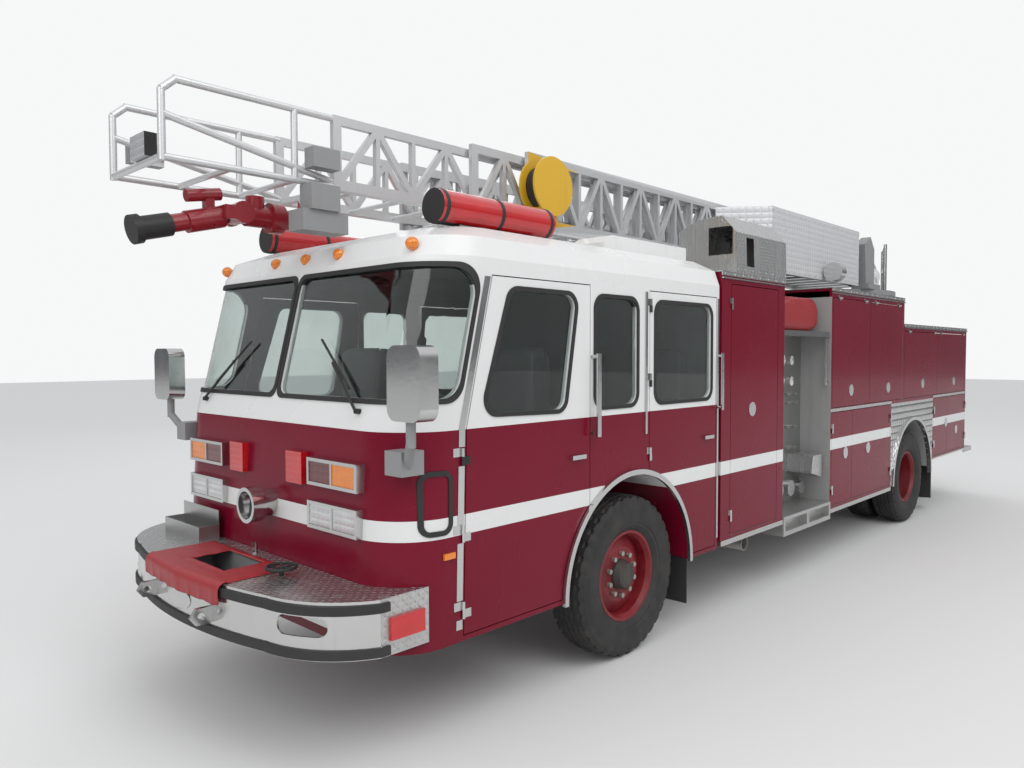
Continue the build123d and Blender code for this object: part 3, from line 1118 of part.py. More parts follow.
def trim():
    """Bright trim, lamps, rubber and the mirrors."""
    skin = cab_form(0, cab_bottom_z, 0)
    for side in (1, -1):
        def put(name, solid):
            add(name, solid if side > 0 else mirror(solid, about=Plane.XZ))
        for x, out, y0, radius in ((arch_x, 23, cab_half, arch_r), (rear_arch_x, 24, body_half, rear_arch_r)):
            ring = rod_y(x, y0, y0 + out, tyre_r, radius + arch_trim) - rod_y(x, y0 - 1, y0 + out + 1, tyre_r, radius)
            ring &= block(x - 800, x + 800, y0 - 2, y0 + out + 2, 520, 1400)
            put("bright_trim", ring)
        strip = side_plate([(strip_x(z) + away, z) for z, away in
                            ((600, 10), (break_z, 10), (2440, 10), (2440, 52), (break_z, 52), (600, 52))],
                           cab_half, cab_half + 4)
        for z in (700, 1100, 1500):
            strip -= block(4300, 4520, cab_half - 1, cab_half + 5, z - 50, z + 50)
        put("bright_trim", strip.solids()[0])
        for solid in strip.solids()[1:]:
            put("bright_trim", solid)
        put("bright_trim", block(2744, 2766, cab_half, cab_half + 10, 1490, 2440))
        put("bright_trim", block(cab_rear_x + 4, cab_rear_x + 26, cab_half, cab_half + 4, 620, 2440))
        put("lamps", block(4486, 4560, cab_half, cab_half + 14, 984, 1016))
        rail = rod_z(1795, cab_half + 45, 1600, 2030, 12)
        for z in (1620, 2010):
            rail += rod_y(1795, cab_half + 4, cab_half + 45, z, 10)
        put("bright_trim", rail & block(1700, 1900, cab_half + 4, 1400, 1500, 2100))
        wiper = bar((screen_x(1735) + 26, 858, 1735), (screen_x(1983) + 24, 560, 1983), 8)
        wiper += bar((screen_x(1735) - 2, 858, 1735), (screen_x(1735) + 30, 858, 1738), 14)
        wiper += bar((screen_x(1850) + 17, 750, 1850), (screen_x(2110) + 17, 400, 2110), 7)
        wiper += bar((screen_x(1983) + 12, 571, 1983), (screen_x(1983) + 26, 571, 1983), 9)
        put("rubber_trim", wiper - skin)
        rail = rod_z(grab_x, cab_half + 55, 1520, 2030, 16)
        for z in (1540, 2010):
            rail += rod_y(grab_x, cab_half, cab_half + 55, z, 12)
        put("bright_trim", rail)
        for z0, z1, kind in ((1097, 1244, "clear"), (1330, 1476, "signal")):
            bezel = block(4780, 4885, 488, 943, z0, z1) - skin
            bezel -= block(4700, 5000, 506, 708, z0 + 18, z1 - 18)
            bezel -= block(4700, 5000, 723, 925, z0 + 18, z1 - 18)
            put("bright_trim", bezel)
            for y0, y1 in ((506.3, 707.7), (723.3, 924.7)):
                lens = block(4800, 4879, y0, y1, z0 + 18.3, z1 - 18.3) - skin
                put("lamps", lens)
        put("lamps", block(4790, 4872, 250, 412, 1315, 1492) - skin)
        head = block(4790, 4900, 1220, 1465, 1715, 2070)
        head = fillet(head.edges().filter_by(Axis.X), 60)
        arm = rod_z(4845, 1330, 1590, 1716, 24) + bar((4845, 1330, 1610), (4790, 1235, 1490), 24)
        base = block(4700, 4840, 1120, 1250, 1440, 1560) - skin
        put("bright_trim", head + arm + base)
        bar_base = block(3560, 4200, 840, 970, roof_top_z - 60, roof_top_z + 14) - skin
        put("bright_trim", bar_base)
        put("lamps", rod_x(3416, 4335, 905, roof_top_z + 14.3 + 96, 96))
        hood = side_plate([(2960, roof_top_z - 60), (2960, roof_top_z + 40), (2860, roof_top_z + 95),
                           (1930, roof_top_z + 95), (1930, roof_top_z - 60)], 740, 1030) - skin
        put("bright_trim", hood)
        for y in ((0, 348, 1010) if side > 0 else (348, 1010)):
            marker = Pos(4570, y, roof_edge_z - 50) * Sphere(36) - skin
            put("lamps", marker)
        flap_x = arch_x - arch_r - 12
        put("rubber_trim", block(flap_x - 8, flap_x, 900, 1210, 200, cab_bottom_z))
        flap_x = well_rear_x - run_gap
        put("rubber_trim", block(flap_x - 8, flap_x, 600, body_half - 8, 180, low_floor_z0 - 40))
    intake = rod_x(4780, 4950, 40, 1170, 78) - skin
    intake += rod_x(4930, 5010, 40, 1170, 102)
    intake -= rod_x(4960, 5020, 40, 1170, 80)
    add("bright_trim", intake)


def covers():
    """Red vinyl covers over the bumper tray and the beds above the pump."""
    for x0, x1, y0, y1 in ((4960, 5020, -450, 450), (5240, 5320, -450, 450), (5020, 5240, -450, -130),
                           (5020, 5240, 250, 450)):
        add("vinyl_covers", block(x0, x1, y0, y1, bumper_z1, bumper_z1 + 12))
    for piece in both(block(high_front_x + 20, comp_rear_x - 20, recess_y + 5, 1160, 2230, 2560)):
        add("vinyl_covers", piece)


wheels()
axles()
knuckles()
frame()
driveline()
cab()
cab_inside()
bumper()
body()
compartment_doors()
plates()
pump_panel()
turntable()
ladder()
cylinders()
stabilizers()
trim()
covers()

for name, solids in nodes.items():
    shape = solids[0] if len(solids) == 1 else Compound(children=[Compound(s.wrapped) for s in solids])
    export_step(shape, os.path.join("parts", name + ".step"))
print(len(nodes), "nodes")
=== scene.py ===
import math

import bmesh
import bpy
from mathutils import Matrix, Vector, noise


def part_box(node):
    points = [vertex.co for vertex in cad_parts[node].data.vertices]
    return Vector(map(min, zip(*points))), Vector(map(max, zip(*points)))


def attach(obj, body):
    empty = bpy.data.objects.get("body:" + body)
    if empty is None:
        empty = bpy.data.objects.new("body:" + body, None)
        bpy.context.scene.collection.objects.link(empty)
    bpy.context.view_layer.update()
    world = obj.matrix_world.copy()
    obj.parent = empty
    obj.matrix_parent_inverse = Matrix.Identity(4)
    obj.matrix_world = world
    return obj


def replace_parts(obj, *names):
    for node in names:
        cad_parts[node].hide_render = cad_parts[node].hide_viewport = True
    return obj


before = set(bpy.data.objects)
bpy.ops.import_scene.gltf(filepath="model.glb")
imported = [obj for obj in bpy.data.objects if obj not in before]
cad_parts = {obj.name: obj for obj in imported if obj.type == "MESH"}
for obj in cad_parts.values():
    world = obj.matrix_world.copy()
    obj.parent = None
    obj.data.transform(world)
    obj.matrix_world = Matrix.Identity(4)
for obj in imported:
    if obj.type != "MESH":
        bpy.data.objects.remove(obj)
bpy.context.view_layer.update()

# The viewpoint: a person stands off the front left corner with the camera a little above the
# bumper's deck, turned across the vehicle towards its tail.
eye = Vector((7.142, 4.175, 2.031))
pan = math.radians(223.65)
tilt = math.radians(-2.25)
lean = math.radians(-0.12)
sight = Vector((math.cos(pan) * math.cos(tilt), math.sin(pan) * math.cos(tilt), math.sin(tilt)))
camera = bpy.data.objects.new("camera", bpy.data.cameras.new("camera"))
camera.data.lens = 27.36
camera.data.sensor_width = 36
camera.data.clip_end = 200
camera.rotation_euler = (sight.to_track_quat("-Z", "Y") @ Matrix.Rotation(lean, 3, "Z").to_quaternion()).to_euler()
camera.location = eye
bpy.context.scene.collection.objects.link(camera)
bpy.context.scene.camera = camera


# The studio: a pale floor, a pale surround and three wide soft lamps, which stand in for an overcast sky.
def node(tree, kind, settings=None, **inputs):
    """Adds a shader node; an input is a socket to link or a value to set."""
    made = tree.nodes.new(kind)
    for name, value in (settings or {}).items():
        setattr(made, name, value)
    for name, value in inputs.items():
        socket = made.inputs[int(name[1:])] if name[1:].isdigit() else made.inputs[name.replace("_", " ")]
        if isinstance(value, bpy.types.NodeSocket):
            tree.links.new(value, socket)
        else:
            socket.default_value = value
    return made


def calc(tree, operation, *values):
    """A math node's output."""
    made = node(tree, "ShaderNodeMath", {"operation": operation})
    for socket, value in zip(made.inputs, values):
        if isinstance(value, bpy.types.NodeSocket):
            tree.links.new(value, socket)
        else:
            socket.default_value = value
    return made.outputs[0]


def blended(tree, share, first, second):
    """A colour between two colours."""
    made = node(tree, "ShaderNodeMix", {"data_type": "RGBA"})
    for socket, value in ((made.inputs["Factor"], share), (made.inputs[6], first), (made.inputs[7], second)):
        if isinstance(value, bpy.types.NodeSocket):
            tree.links.new(value, socket)
        else:
            socket.default_value = value
    return made.outputs[2]


def new_finish(name):
    """A material with its node tree and its surface shader."""
    made = bpy.data.materials.new(name)
    made.use_nodes = True
    return made, made.node_tree, made.node_tree.nodes["Principled BSDF"]


def seen_white(tree, plain, white):
    """Camera rays see one colour, light that bounces another, and mirrors a dusky edge below a pale top."""
    rays = node(tree, "ShaderNodeLightPath").outputs
    height = node(tree, "ShaderNodeSeparateXYZ", Vector=node(tree, "ShaderNodeTexCoord").outputs["Generated"])
    climb = node(tree, "ShaderNodeMapRange", Value=height.outputs["Z"], From_Min=-0.02, From_Max=0.55).outputs[0]
    mirrored = blended(tree, climb, (0.10, 0.105, 0.11, 1), (0.80, 0.81, 0.83, 1))
    seen = blended(tree, rays["Is Glossy Ray"], plain, mirrored)
    return blended(tree, calc(tree, "MAXIMUM", rays["Is Camera Ray"], rays["Is Transmission Ray"]), seen, white)


floor_white = (0.66, 0.66, 0.655, 1)
floor_half = 60
floor_finish, tree, shader = new_finish("studio_floor")
speckle = node(tree, "ShaderNodeTexNoise", Scale=3.0, Detail=4.0).outputs["Fac"]
tree.links.new(blended(tree, calc(tree, "MULTIPLY", speckle, 0.06), floor_white, (0.58, 0.58, 0.57, 1)),
               shader.inputs["Base Color"])
shader.inputs["Roughness"].default_value = 0.85
floor_mesh = bpy.data.meshes.new("studio_floor")
floor_mesh.from_pydata([(-floor_half, -floor_half, 0), (floor_half, -floor_half, 0), (floor_half, floor_half, 0),
                        (-floor_half, floor_half, 0)], [], [(0, 1, 2, 3)])
floor_mesh.materials.append(floor_finish)
studio_floor = bpy.data.objects.new("studio_floor", floor_mesh)
bpy.context.scene.collection.objects.link(studio_floor)

sky = bpy.data.worlds.new("studio_surround")
bpy.context.scene.world = sky
sky.use_nodes = True
back = sky.node_tree.nodes["Background"]
back.inputs["Strength"].default_value = 1.0
sky.node_tree.links.new(seen_white(sky.node_tree, (0.92, 0.93, 0.95, 1), (0.93, 0.935, 0.94, 1)), back.inputs["Color"])
for name, place, aim, size, power in (
    ("lamp_high", (4, 9, 11), (0, 0, 1.5), 9, 620),
    ("lamp_front", (13, 3, 7), (3, 0, 1.5), 6, 240),
    ("lamp_far", (-8, -10, 9), (-1, 0, 1.5), 8, 280),
):
    lamp = bpy.data.lights.new(name, "AREA")
    lamp.size = size
    lamp.energy = power
    holder = bpy.data.objects.new(name, lamp)
    holder.location = place
    holder.rotation_euler = (Vector(aim) - Vector(place)).to_track_quat("-Z", "Y").to_euler()
    bpy.context.scene.collection.objects.link(holder)
bpy.context.scene.view_settings.view_transform = "Standard"


# The ladder frame, axles and driveline: channel steel and castings, sprayed chassis black and
# coated with road dirt that lies thickest low down.
def group(name, inputs, outputs):
    """A shader node group with its named inputs and outputs."""
    made = bpy.data.node_groups.new(name, "ShaderNodeTree")
    for label, kind, value in inputs:
        socket = made.interface.new_socket(name=label, in_out="INPUT", socket_type="NodeSocket" + kind)
        socket.default_value = value
    for label, kind in outputs:
        made.interface.new_socket(name=label, in_out="OUTPUT", socket_type="NodeSocket" + kind)
    return made, made.nodes.new("NodeGroupInput").outputs, made.nodes.new("NodeGroupOutput").inputs


def use(tree, inner, **inputs):
    """Places a node group in a material."""
    made = tree.nodes.new("ShaderNodeGroup")
    made.node_tree = inner
    for name, value in inputs.items():
        socket = made.inputs[name.replace("_", " ")]
        if isinstance(value, bpy.types.NodeSocket):
            tree.links.new(value, socket)
        else:
            socket.default_value = value
    return made.outputs


road_dirt, given, gives = group(
    "road_dirt",
    [("Paint", "Color", (0.5, 0.5, 0.5, 1)), ("Dirt", "Color", (0.16, 0.13, 0.10, 1)), ("Amount", "Float", 0.5),
     ("Reach", "Float", 1.0), ("Overall", "Float", 0.05)],
    [("Color", "Color"), ("Mask", "Float")])
spot = node(road_dirt, "ShaderNodeTexCoord").outputs["Object"]
height = node(road_dirt, "ShaderNodeSeparateXYZ", Vector=spot).outputs["Z"]
low = calc(road_dirt, "SUBTRACT", 1.0, calc(road_dirt, "DIVIDE", height, given["Reach"]))
low = calc(road_dirt, "POWER", node(road_dirt, "ShaderNodeClamp", Value=low).outputs[0], 1.6)
cloud = node(road_dirt, "ShaderNodeTexNoise", Vector=spot, Scale=2.6, Detail=7.0, Roughness=0.62).outputs["Fac"]
drips = node(road_dirt, "ShaderNodeMapping", Vector=spot, Scale=(16, 16, 0.9)).outputs[0]
drips = node(road_dirt, "ShaderNodeTexNoise", Vector=drips, Scale=1.0, Detail=3.0).outputs["Fac"]
drips = node(road_dirt, "ShaderNodeMapRange", Value=drips, From_Min=0.54, From_Max=0.78).outputs[0]
grit = calc(road_dirt, "MULTIPLY", low, calc(road_dirt, "MULTIPLY_ADD", cloud, 1.6, -0.15))
grit = calc(road_dirt, "ADD", calc(road_dirt, "MULTIPLY", grit, given["Amount"]),
            calc(road_dirt, "MULTIPLY", given["Overall"], calc(road_dirt, "ADD", cloud, drips)))
grit = node(road_dirt, "ShaderNodeClamp", Value=grit).outputs[0]
road_dirt.links.new(grit, gives["Mask"])
road_dirt.links.new(blended(road_dirt, grit, given["Paint"], given["Dirt"]), gives["Color"])


def dirty_finish(name, paint, dirt=(0.15, 0.12, 0.09, 1), amount=0.5, reach=1.0, overall=0.05, rough=0.45,
                 metallic=0.0, bump=0.0, bump_scale=60.0, coat=0.0):
    """A coated or bare surface whose dirt takes away its gloss."""
    made, tree, shader = new_finish(name)
    worn = use(tree, road_dirt, Paint=paint, Dirt=dirt, Amount=amount, Reach=reach, Overall=overall)
    tree.links.new(worn["Color"], shader.inputs["Base Color"])
    tree.links.new(calc(tree, "MULTIPLY_ADD", worn["Mask"], 0.85 - rough, rough), shader.inputs["Roughness"])
    if metallic:
        tree.links.new(calc(tree, "MULTIPLY_ADD", worn["Mask"], -metallic, metallic), shader.inputs["Metallic"])
    shader.inputs["Coat Weight"].default_value = coat
    shader.inputs["Coat Roughness"].default_value = 0.08
    if bump:
        grain = node(tree, "ShaderNodeTexNoise", Vector=node(tree, "ShaderNodeTexCoord").outputs["Object"],
                     Scale=bump_scale, Detail=3.0).outputs["Fac"]
        tree.links.new(node(tree, "ShaderNodeBump", Height=grain, Strength=bump, Distance=0.004).outputs[0],
                       shader.inputs["Normal"])
    return made


def dress(name, *finishes, choose=None):
    """Gives a CAD piece its finishes; choose picks one by a face's middle and normal."""
    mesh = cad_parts[name].data
    mesh.materials.clear()
    for finish in finishes:
        mesh.materials.append(finish)
    if choose:
        for face in mesh.polygons:
            face.material_index = choose(face.center, face.normal)


chassis_black = dirty_finish("chassis_black", (0.022, 0.022, 0.024, 1), amount=0.9, reach=1.6, overall=0.25,
                             rough=0.42, bump=0.5, bump_scale=45)
cast_grey = dirty_finish("cast_grey", (0.09, 0.085, 0.08, 1), amount=0.9, reach=1.7, overall=0.4, rough=0.6,
                         bump=0.8, bump_scale=90)
for name in ("chassis_frame", "axles", "knuckle_left", "knuckle_right"):
    dress(name, chassis_black)
pipe_steel = dirty_finish("pipe_steel", (0.55, 0.54, 0.52, 1), amount=0.5, reach=0.7, overall=0.2, rough=0.3,
                          metallic=1.0)
dress("driveline", cast_grey, pipe_steel,
      choose=lambda at, way: 1 if 1.15 < at.x < 2.2 and at.z < 0.53 and at.y > 0.4 else 0)


# The tyres: moulded black rubber, five ribs with lugs cut into the shoulders, smooth walls that are
# browned with dust. Each is pressed on its rim and rolls with it.
def ridge(amount, low, high):
    """0 below one value, 1 above another, smooth between."""
    t = min(1.0, max(0.0, (amount - low) / (high - low)))
    return t * t * (3 - 2 * t)


def finish_piece(mesh, name, finishes, body, smooth=35, bevel=0.0):
    """Makes a piece of a mesh, rounds its edges and sets it on a body."""
    for finish in finishes if isinstance(finishes, (list, tuple)) else [finishes]:
        mesh.materials.append(finish)
    made = bpy.data.objects.new(name, mesh)
    bpy.context.scene.collection.objects.link(made)
    if smooth:
        mesh.shade_smooth()
        mesh.set_sharp_from_angle(angle=math.radians(smooth))
    if bevel:
        rounding = made.modifiers.new("rounding", "BEVEL")
        rounding.width = bevel
        rounding.segments = 2
        rounding.limit_method = "ANGLE"
    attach(made, body)
    return made


rubber_black = (0.018, 0.018, 0.019, 1)
wall_rubber, tree, shader = new_finish("tyre_rubber")
spot = node(tree, "ShaderNodeTexCoord").outputs["Object"]
dusty = node(tree, "ShaderNodeTexNoise", Vector=spot, Scale=7.0, Detail=6.0, Roughness=0.7).outputs["Fac"]
dusty = node(tree, "ShaderNodeMapRange", Value=dusty, From_Min=0.42, From_Max=0.75).outputs[0]
tree.links.new(blended(tree, calc(tree, "MULTIPLY", dusty, 0.55), rubber_black, (0.075, 0.066, 0.055, 1)),
               shader.inputs["Base Color"])
tree.links.new(calc(tree, "MULTIPLY_ADD", dusty, 0.2, 0.62), shader.inputs["Roughness"])
fine = node(tree, "ShaderNodeTexNoise", Vector=spot, Scale=140.0, Detail=3.0).outputs["Fac"]
tree.links.new(node(tree, "ShaderNodeBump", Height=fine, Strength=0.35, Distance=0.003).outputs[0],
               shader.inputs["Normal"])

tyre_steps = 216
wall_profile = [
    (-0.105, 0.3035), (-0.121, 0.318), (-0.127, 0.334), (-0.1315, 0.338), (-0.134, 0.360), (-0.1385, 0.364),
    (-0.1425, 0.392), (-0.1445, 0.425), (-0.1445, 0.452), (-0.1430, 0.456), (-0.1405, 0.480), (-0.1370, 0.498),
    (-0.1330, 0.502),
]
tread_half = 0.118
groove_places = (-0.060, -0.021, 0.021, 0.060)


def tyre_into(mesh_maker, centre, side):
    """Spins one tyre: walls as drawn, ribs with zigzag grooves, and lugs at the shoulders."""
    across = [(-tread_half + i * 2 * tread_half / 36) for i in range(37)]
    rings = []
    for step in range(tyre_steps):
        angle = 2 * math.pi * step / tyre_steps
        zig = 0.004 * (1 if (step // 3) % 2 else -1)
        lug = (step % 6) < 4
        ring = []
        for y, r in wall_profile:
            if r > 0.47:
                r -= 0.0 if lug else 0.006
                y *= 1.0 if lug else 0.985
            ring.append((y, r))
        for y in across:
            crown = 0.539 - 0.010 * (abs(y) / tread_half) ** 2.6
            cut = 0.0
            for place in groove_places:
                cut = max(cut, 1.0 - ridge(abs(y - place - zig), 0.0035, 0.0065))
            if abs(y) > 0.094 and not lug:
                cut = 1.0
            ring.append((y, crown - 0.013 * cut))
        ring += [(-y, r) for y, r in reversed(ring[:len(wall_profile)])]
        rings.append([mesh_maker.verts.new((centre.x + r * math.sin(angle), centre.y + side * y,
                                            centre.z + r * math.cos(angle))) for y, r in ring])
    count = len(rings[0])
    for step in range(tyre_steps):
        here, there = rings[step], rings[(step + 1) % tyre_steps]
        for j in range(count - 1):
            quad = (here[j], there[j], there[j + 1], here[j + 1])
            mesh_maker.faces.new(quad if side > 0 else quad[::-1])
        quad = (here[count - 1], there[count - 1], there[0], here[0])
        mesh_maker.faces.new(quad if side > 0 else quad[::-1])


for hand, side in (("left", 1), ("right", -1)):
    low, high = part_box("tyre_front_" + hand)
    maker = bmesh.new()
    tyre_into(maker, (low + high) / 2, side)
    mesh = bpy.data.meshes.new("front_tyre_" + hand)
    maker.to_mesh(mesh)
    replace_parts(finish_piece(mesh, "front_tyre_" + hand, wall_rubber, "wheel_front_" + hand, 28),
                "tyre_front_" + hand)
    low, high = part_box("tyres_rear_" + hand)
    centre = (low + high) / 2
    reach = (high.y - low.y) / 2 - 0.145
    maker = bmesh.new()
    for away in (-reach, reach):
        tyre_into(maker, Vector((centre.x, centre.y + away, centre.z)), side)
    mesh = bpy.data.meshes.new("rear_tyres_" + hand)
    maker.to_mesh(mesh)
    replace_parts(finish_piece(mesh, "rear_tyres_" + hand, wall_rubber, "wheels_rear_" + hand, 28),
                "tyres_rear_" + hand)


# The disc wheels: pressed steel, enamelled red and chalked by weather, on greasy dark hubs whose ten
# studs have bright worn nuts.
wheel_red, tree, shader = new_finish("wheel_red")
spot = node(tree, "ShaderNodeTexCoord").outputs["Object"]
chalk = node(tree, "ShaderNodeTexNoise", Vector=spot, Scale=9.0, Detail=7.0, Roughness=0.66).outputs["Fac"]
chalk = node(tree, "ShaderNodeMapRange", Value=chalk, From_Min=0.38, From_Max=0.72).outputs[0]
soot = node(tree, "ShaderNodeTexNoise", Vector=spot, Scale=4.0, Detail=5.0).outputs["Fac"]
soot = node(tree, "ShaderNodeMapRange", Value=soot, From_Min=0.52, From_Max=0.8).outputs[0]
colour = blended(tree, chalk, (0.16, 0.005, 0.009, 1), (0.24, 0.020, 0.027, 1))
tree.links.new(blended(tree, calc(tree, "MULTIPLY", soot, 0.7), colour, (0.03, 0.016, 0.014, 1)),
               shader.inputs["Base Color"])
tree.links.new(calc(tree, "MULTIPLY_ADD", chalk, 0.25, 0.4), shader.inputs["Roughness"])
hub_grease = dirty_finish("hub_grease", (0.02, 0.02, 0.02, 1), (0.09, 0.075, 0.06, 1), amount=0.6, reach=1.4,
                          overall=0.3, rough=0.38, bump=0.6, bump_scale=80)
nut_steel = dirty_finish("nut_steel", (0.5, 0.49, 0.47, 1), (0.12, 0.07, 0.05, 1), amount=0.3, reach=1.2,
                         overall=0.35, rough=0.32, metallic=0.9)
for name in ("rim_front_left", "rim_front_right", "rims_rear_left", "rims_rear_right"):
    low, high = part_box(name)
    hub_x, hub_z = (low.x + high.x) / 2, (low.z + high.z) / 2

    def by_ring(at, way):
        """Hub inside, then the ring of nuts, then the disc and barrel."""
        out = math.hypot(at.x - hub_x, at.z - hub_z)
        if out < 0.108:
            return 1
        turn = math.atan2(at.x - hub_x, at.z - hub_z) / (2 * math.pi) * 10
        near = abs(turn - round(turn)) * 2 * math.pi / 10 * 0.142
        return 2 if math.hypot(near, out - 0.142) < 0.0168 else 0
    dress(name, wheel_red, hub_grease, nut_steel, choose=by_ring)


# The cab: folded aluminium panels, sprayed deep red below the belt line and white above it, with a
# white reflective band. The red has chalked and the lower panels carry road film.
def livery(name, split, band=(1.093, 1.197), red=(0.150, 0.0015, 0.0150, 1), white=(0.66, 0.665, 0.66, 1)):
    """Red enamel with its white band and, above a height, white enamel."""
    made, tree, shader = new_finish(name)
    spot = node(tree, "ShaderNodeTexCoord").outputs["Object"]
    height = node(tree, "ShaderNodeSeparateXYZ", Vector=spot).outputs["Z"]
    above = calc(tree, "GREATER_THAN", height, split)
    banded = calc(tree, "MULTIPLY", calc(tree, "GREATER_THAN", height, band[0]),
                  calc(tree, "LESS_THAN", height, band[1]))
    faded = node(tree, "ShaderNodeTexNoise", Vector=spot, Scale=0.9, Detail=4.0, Roughness=0.55).outputs["Fac"]
    faded = node(tree, "ShaderNodeMapRange", Value=faded, From_Min=0.35, From_Max=0.75).outputs[0]
    enamel = blended(tree, calc(tree, "MULTIPLY", faded, 0.55), red, (0.175, 0.004, 0.023, 1))
    colour = blended(tree, calc(tree, "MAXIMUM", above, banded), enamel, white)
    worn = use(tree, road_dirt, Paint=colour, Dirt=(0.10, 0.060, 0.052, 1), Amount=0.26, Reach=1.0, Overall=0.015)
    tree.links.new(worn["Color"], shader.inputs["Base Color"])
    film = calc(tree, "ADD", calc(tree, "MULTIPLY", worn["Mask"], 0.5), calc(tree, "MULTIPLY", faded, 0.07))
    tree.links.new(calc(tree, "ADD", film, 0.24), shader.inputs["Roughness"])
    shader.inputs["Specular IOR Level"].default_value = 0.14
    shader.inputs["Coat Weight"].default_value = 0.16
    shader.inputs["Coat Roughness"].default_value = 0.10
    waves = node(tree, "ShaderNodeTexNoise", Vector=spot, Scale=2.2, Detail=1.0).outputs["Fac"]
    peel = node(tree, "ShaderNodeTexNoise", Vector=spot, Scale=320.0, Detail=1.0).outputs["Fac"]
    rough_sea = node(tree, "ShaderNodeBump", Height=waves, Strength=0.25, Distance=0.012).outputs[0]
    tree.links.new(node(tree, "ShaderNodeBump", Height=peel, Strength=0.04, Distance=0.001,
                        Normal=rough_sea).outputs[0], shader.inputs["Normal"])
    return made


cab_paint = livery("cab_paint", 1.639)
lining, tree, shader = new_finish("cab_lining")
spot = node(tree, "ShaderNodeTexCoord").outputs["Object"]
cells = node(tree, "ShaderNodeTexVoronoi", Vector=spot, Scale=220.0).outputs["Distance"]
patch = node(tree, "ShaderNodeTexNoise", Vector=spot, Scale=5.0).outputs["Fac"]
tree.links.new(blended(tree, patch, (0.045, 0.047, 0.05, 1), (0.075, 0.075, 0.078, 1)), shader.inputs["Base Color"])
shader.inputs["Roughness"].default_value = 0.7
tree.links.new(node(tree, "ShaderNodeBump", Height=cells, Strength=0.4, Distance=0.002).outputs[0],
               shader.inputs["Normal"])
shell_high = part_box("cab_shell")[1]


def cab_side(at, way):
    """Skin 0, lining 1: the lining's faces look into the cab."""
    if at.z < 0.96 or abs(at.y) > shell_high.y - 0.002:
        return 0
    hand = 1 if at.y > 0 else -1
    sideways = way.y * hand < -0.35 and abs(at.y) > 0.9 and at.z > 1.25
    over = way.z < -0.35 and at.z > 2.2
    ahead = way.x < -0.35 and at.x > 3.9 and at.z > 1.2
    behind = way.x > 0.35 and at.x < 2.2
    under = way.z > 0.9 and at.z < 1.35 and abs(at.y) < shell_high.y - 0.04
    return 1 if sideways or over or ahead or behind or under else 0


dress("cab_shell", cab_paint, lining, choose=cab_side)


# The glazing: laminated screens and toughened panes, faintly green, set in black rubber. The panes of
# the doors are drawn with their doors.
def glass(name, tint, rough=0.015):
    """Clear panes, whose shadows stay light."""
    made, tree, shader = new_finish(name)
    smear = node(tree, "ShaderNodeTexNoise", Vector=node(tree, "ShaderNodeTexCoord").outputs["Object"], Scale=3.0,
                 Detail=5.0).outputs["Fac"]
    smear = node(tree, "ShaderNodeMapRange", Value=smear, From_Min=0.5, From_Max=0.8).outputs[0]
    tree.links.new(blended(tree, calc(tree, "MULTIPLY", smear, 0.3), tint, (0.55, 0.56, 0.54, 1)),
                   shader.inputs["Base Color"])
    tree.links.new(calc(tree, "MULTIPLY_ADD", smear, 0.06, rough), shader.inputs["Roughness"])
    shader.inputs["Transmission Weight"].default_value = 1.0
    shader.inputs["IOR"].default_value = 1.45
    clear = node(tree, "ShaderNodeBsdfTransparent", Color=(0.75, 0.78, 0.77, 1)).outputs[0]
    mixed = tree.nodes.new("ShaderNodeMixShader")
    tree.links.new(node(tree, "ShaderNodeLightPath").outputs["Is Shadow Ray"], mixed.inputs[0])
    tree.links.new(shader.outputs[0], mixed.inputs[1])
    tree.links.new(clear, mixed.inputs[2])
    tree.links.new(mixed.outputs[0], tree.nodes["Material Output"].inputs["Surface"])
    return made


screen_glass = glass("screen_glass", (0.70, 0.76, 0.74, 1))
pane_joint, tree, shader = new_finish("pane_joint")
shader.inputs["Alpha"].default_value = 0.0


def screen_side(at, way):
    """Pane faces 0; the faces where the screen's drawn parts meet 1."""
    if at.x > 4.3 and abs(at.y) > 0.9 and abs(way.z) < 0.6:
        away = Vector((at.x - 4.388, abs(at.y) - 0.907))
        turned = Vector((way.x, way.y if at.y > 0 else -way.y))
        if away.length > 0.02 and abs(away.normalized().dot(turned)) < 0.3:
            return 1
    return 1 if abs(abs(at.y) - 0.907) < 0.002 and abs(way.y) > 0.9 else 0


dress("cab_glass", screen_glass, pane_joint, choose=screen_side)


# The doors: folded skins on a frame, sprayed with the cab, each with a drop pane in a black rubber
# seal and a bright pull handle screwed below it.
rubber_seal = dirty_finish("rubber_seal", (0.016, 0.016, 0.017, 1), (0.10, 0.09, 0.08, 1), amount=0.35, reach=1.1,
                           overall=0.08, rough=0.6, bump=0.35, bump_scale=130)
bright_steel = dirty_finish("bright_steel", (0.60, 0.60, 0.595, 1), (0.16, 0.13, 0.10, 1), amount=0.3, reach=1.0,
                            overall=0.05, rough=0.13, metallic=1.0, bump=0.05, bump_scale=30)


def door_side(at, way):
    """Skin 0, lining 1, pane 2, seal 3, handle 4."""
    out = abs(at.y)
    if 1.2055 < out < 1.2145 and abs(way.y) > 0.9 and at.z > 1.45:
        return 2
    if out > 1.2285:
        return 3 if at.z > 1.46 else 4
    return 1 if out < 1.1895 else 0


for hand, side in (("left", 1), ("right", -1)):
    for word in ("front", "crew"):
        dress("door_%s_%s" % (word, hand), cab_paint, lining, screen_glass, rubber_seal, bright_steel,
              choose=door_side)


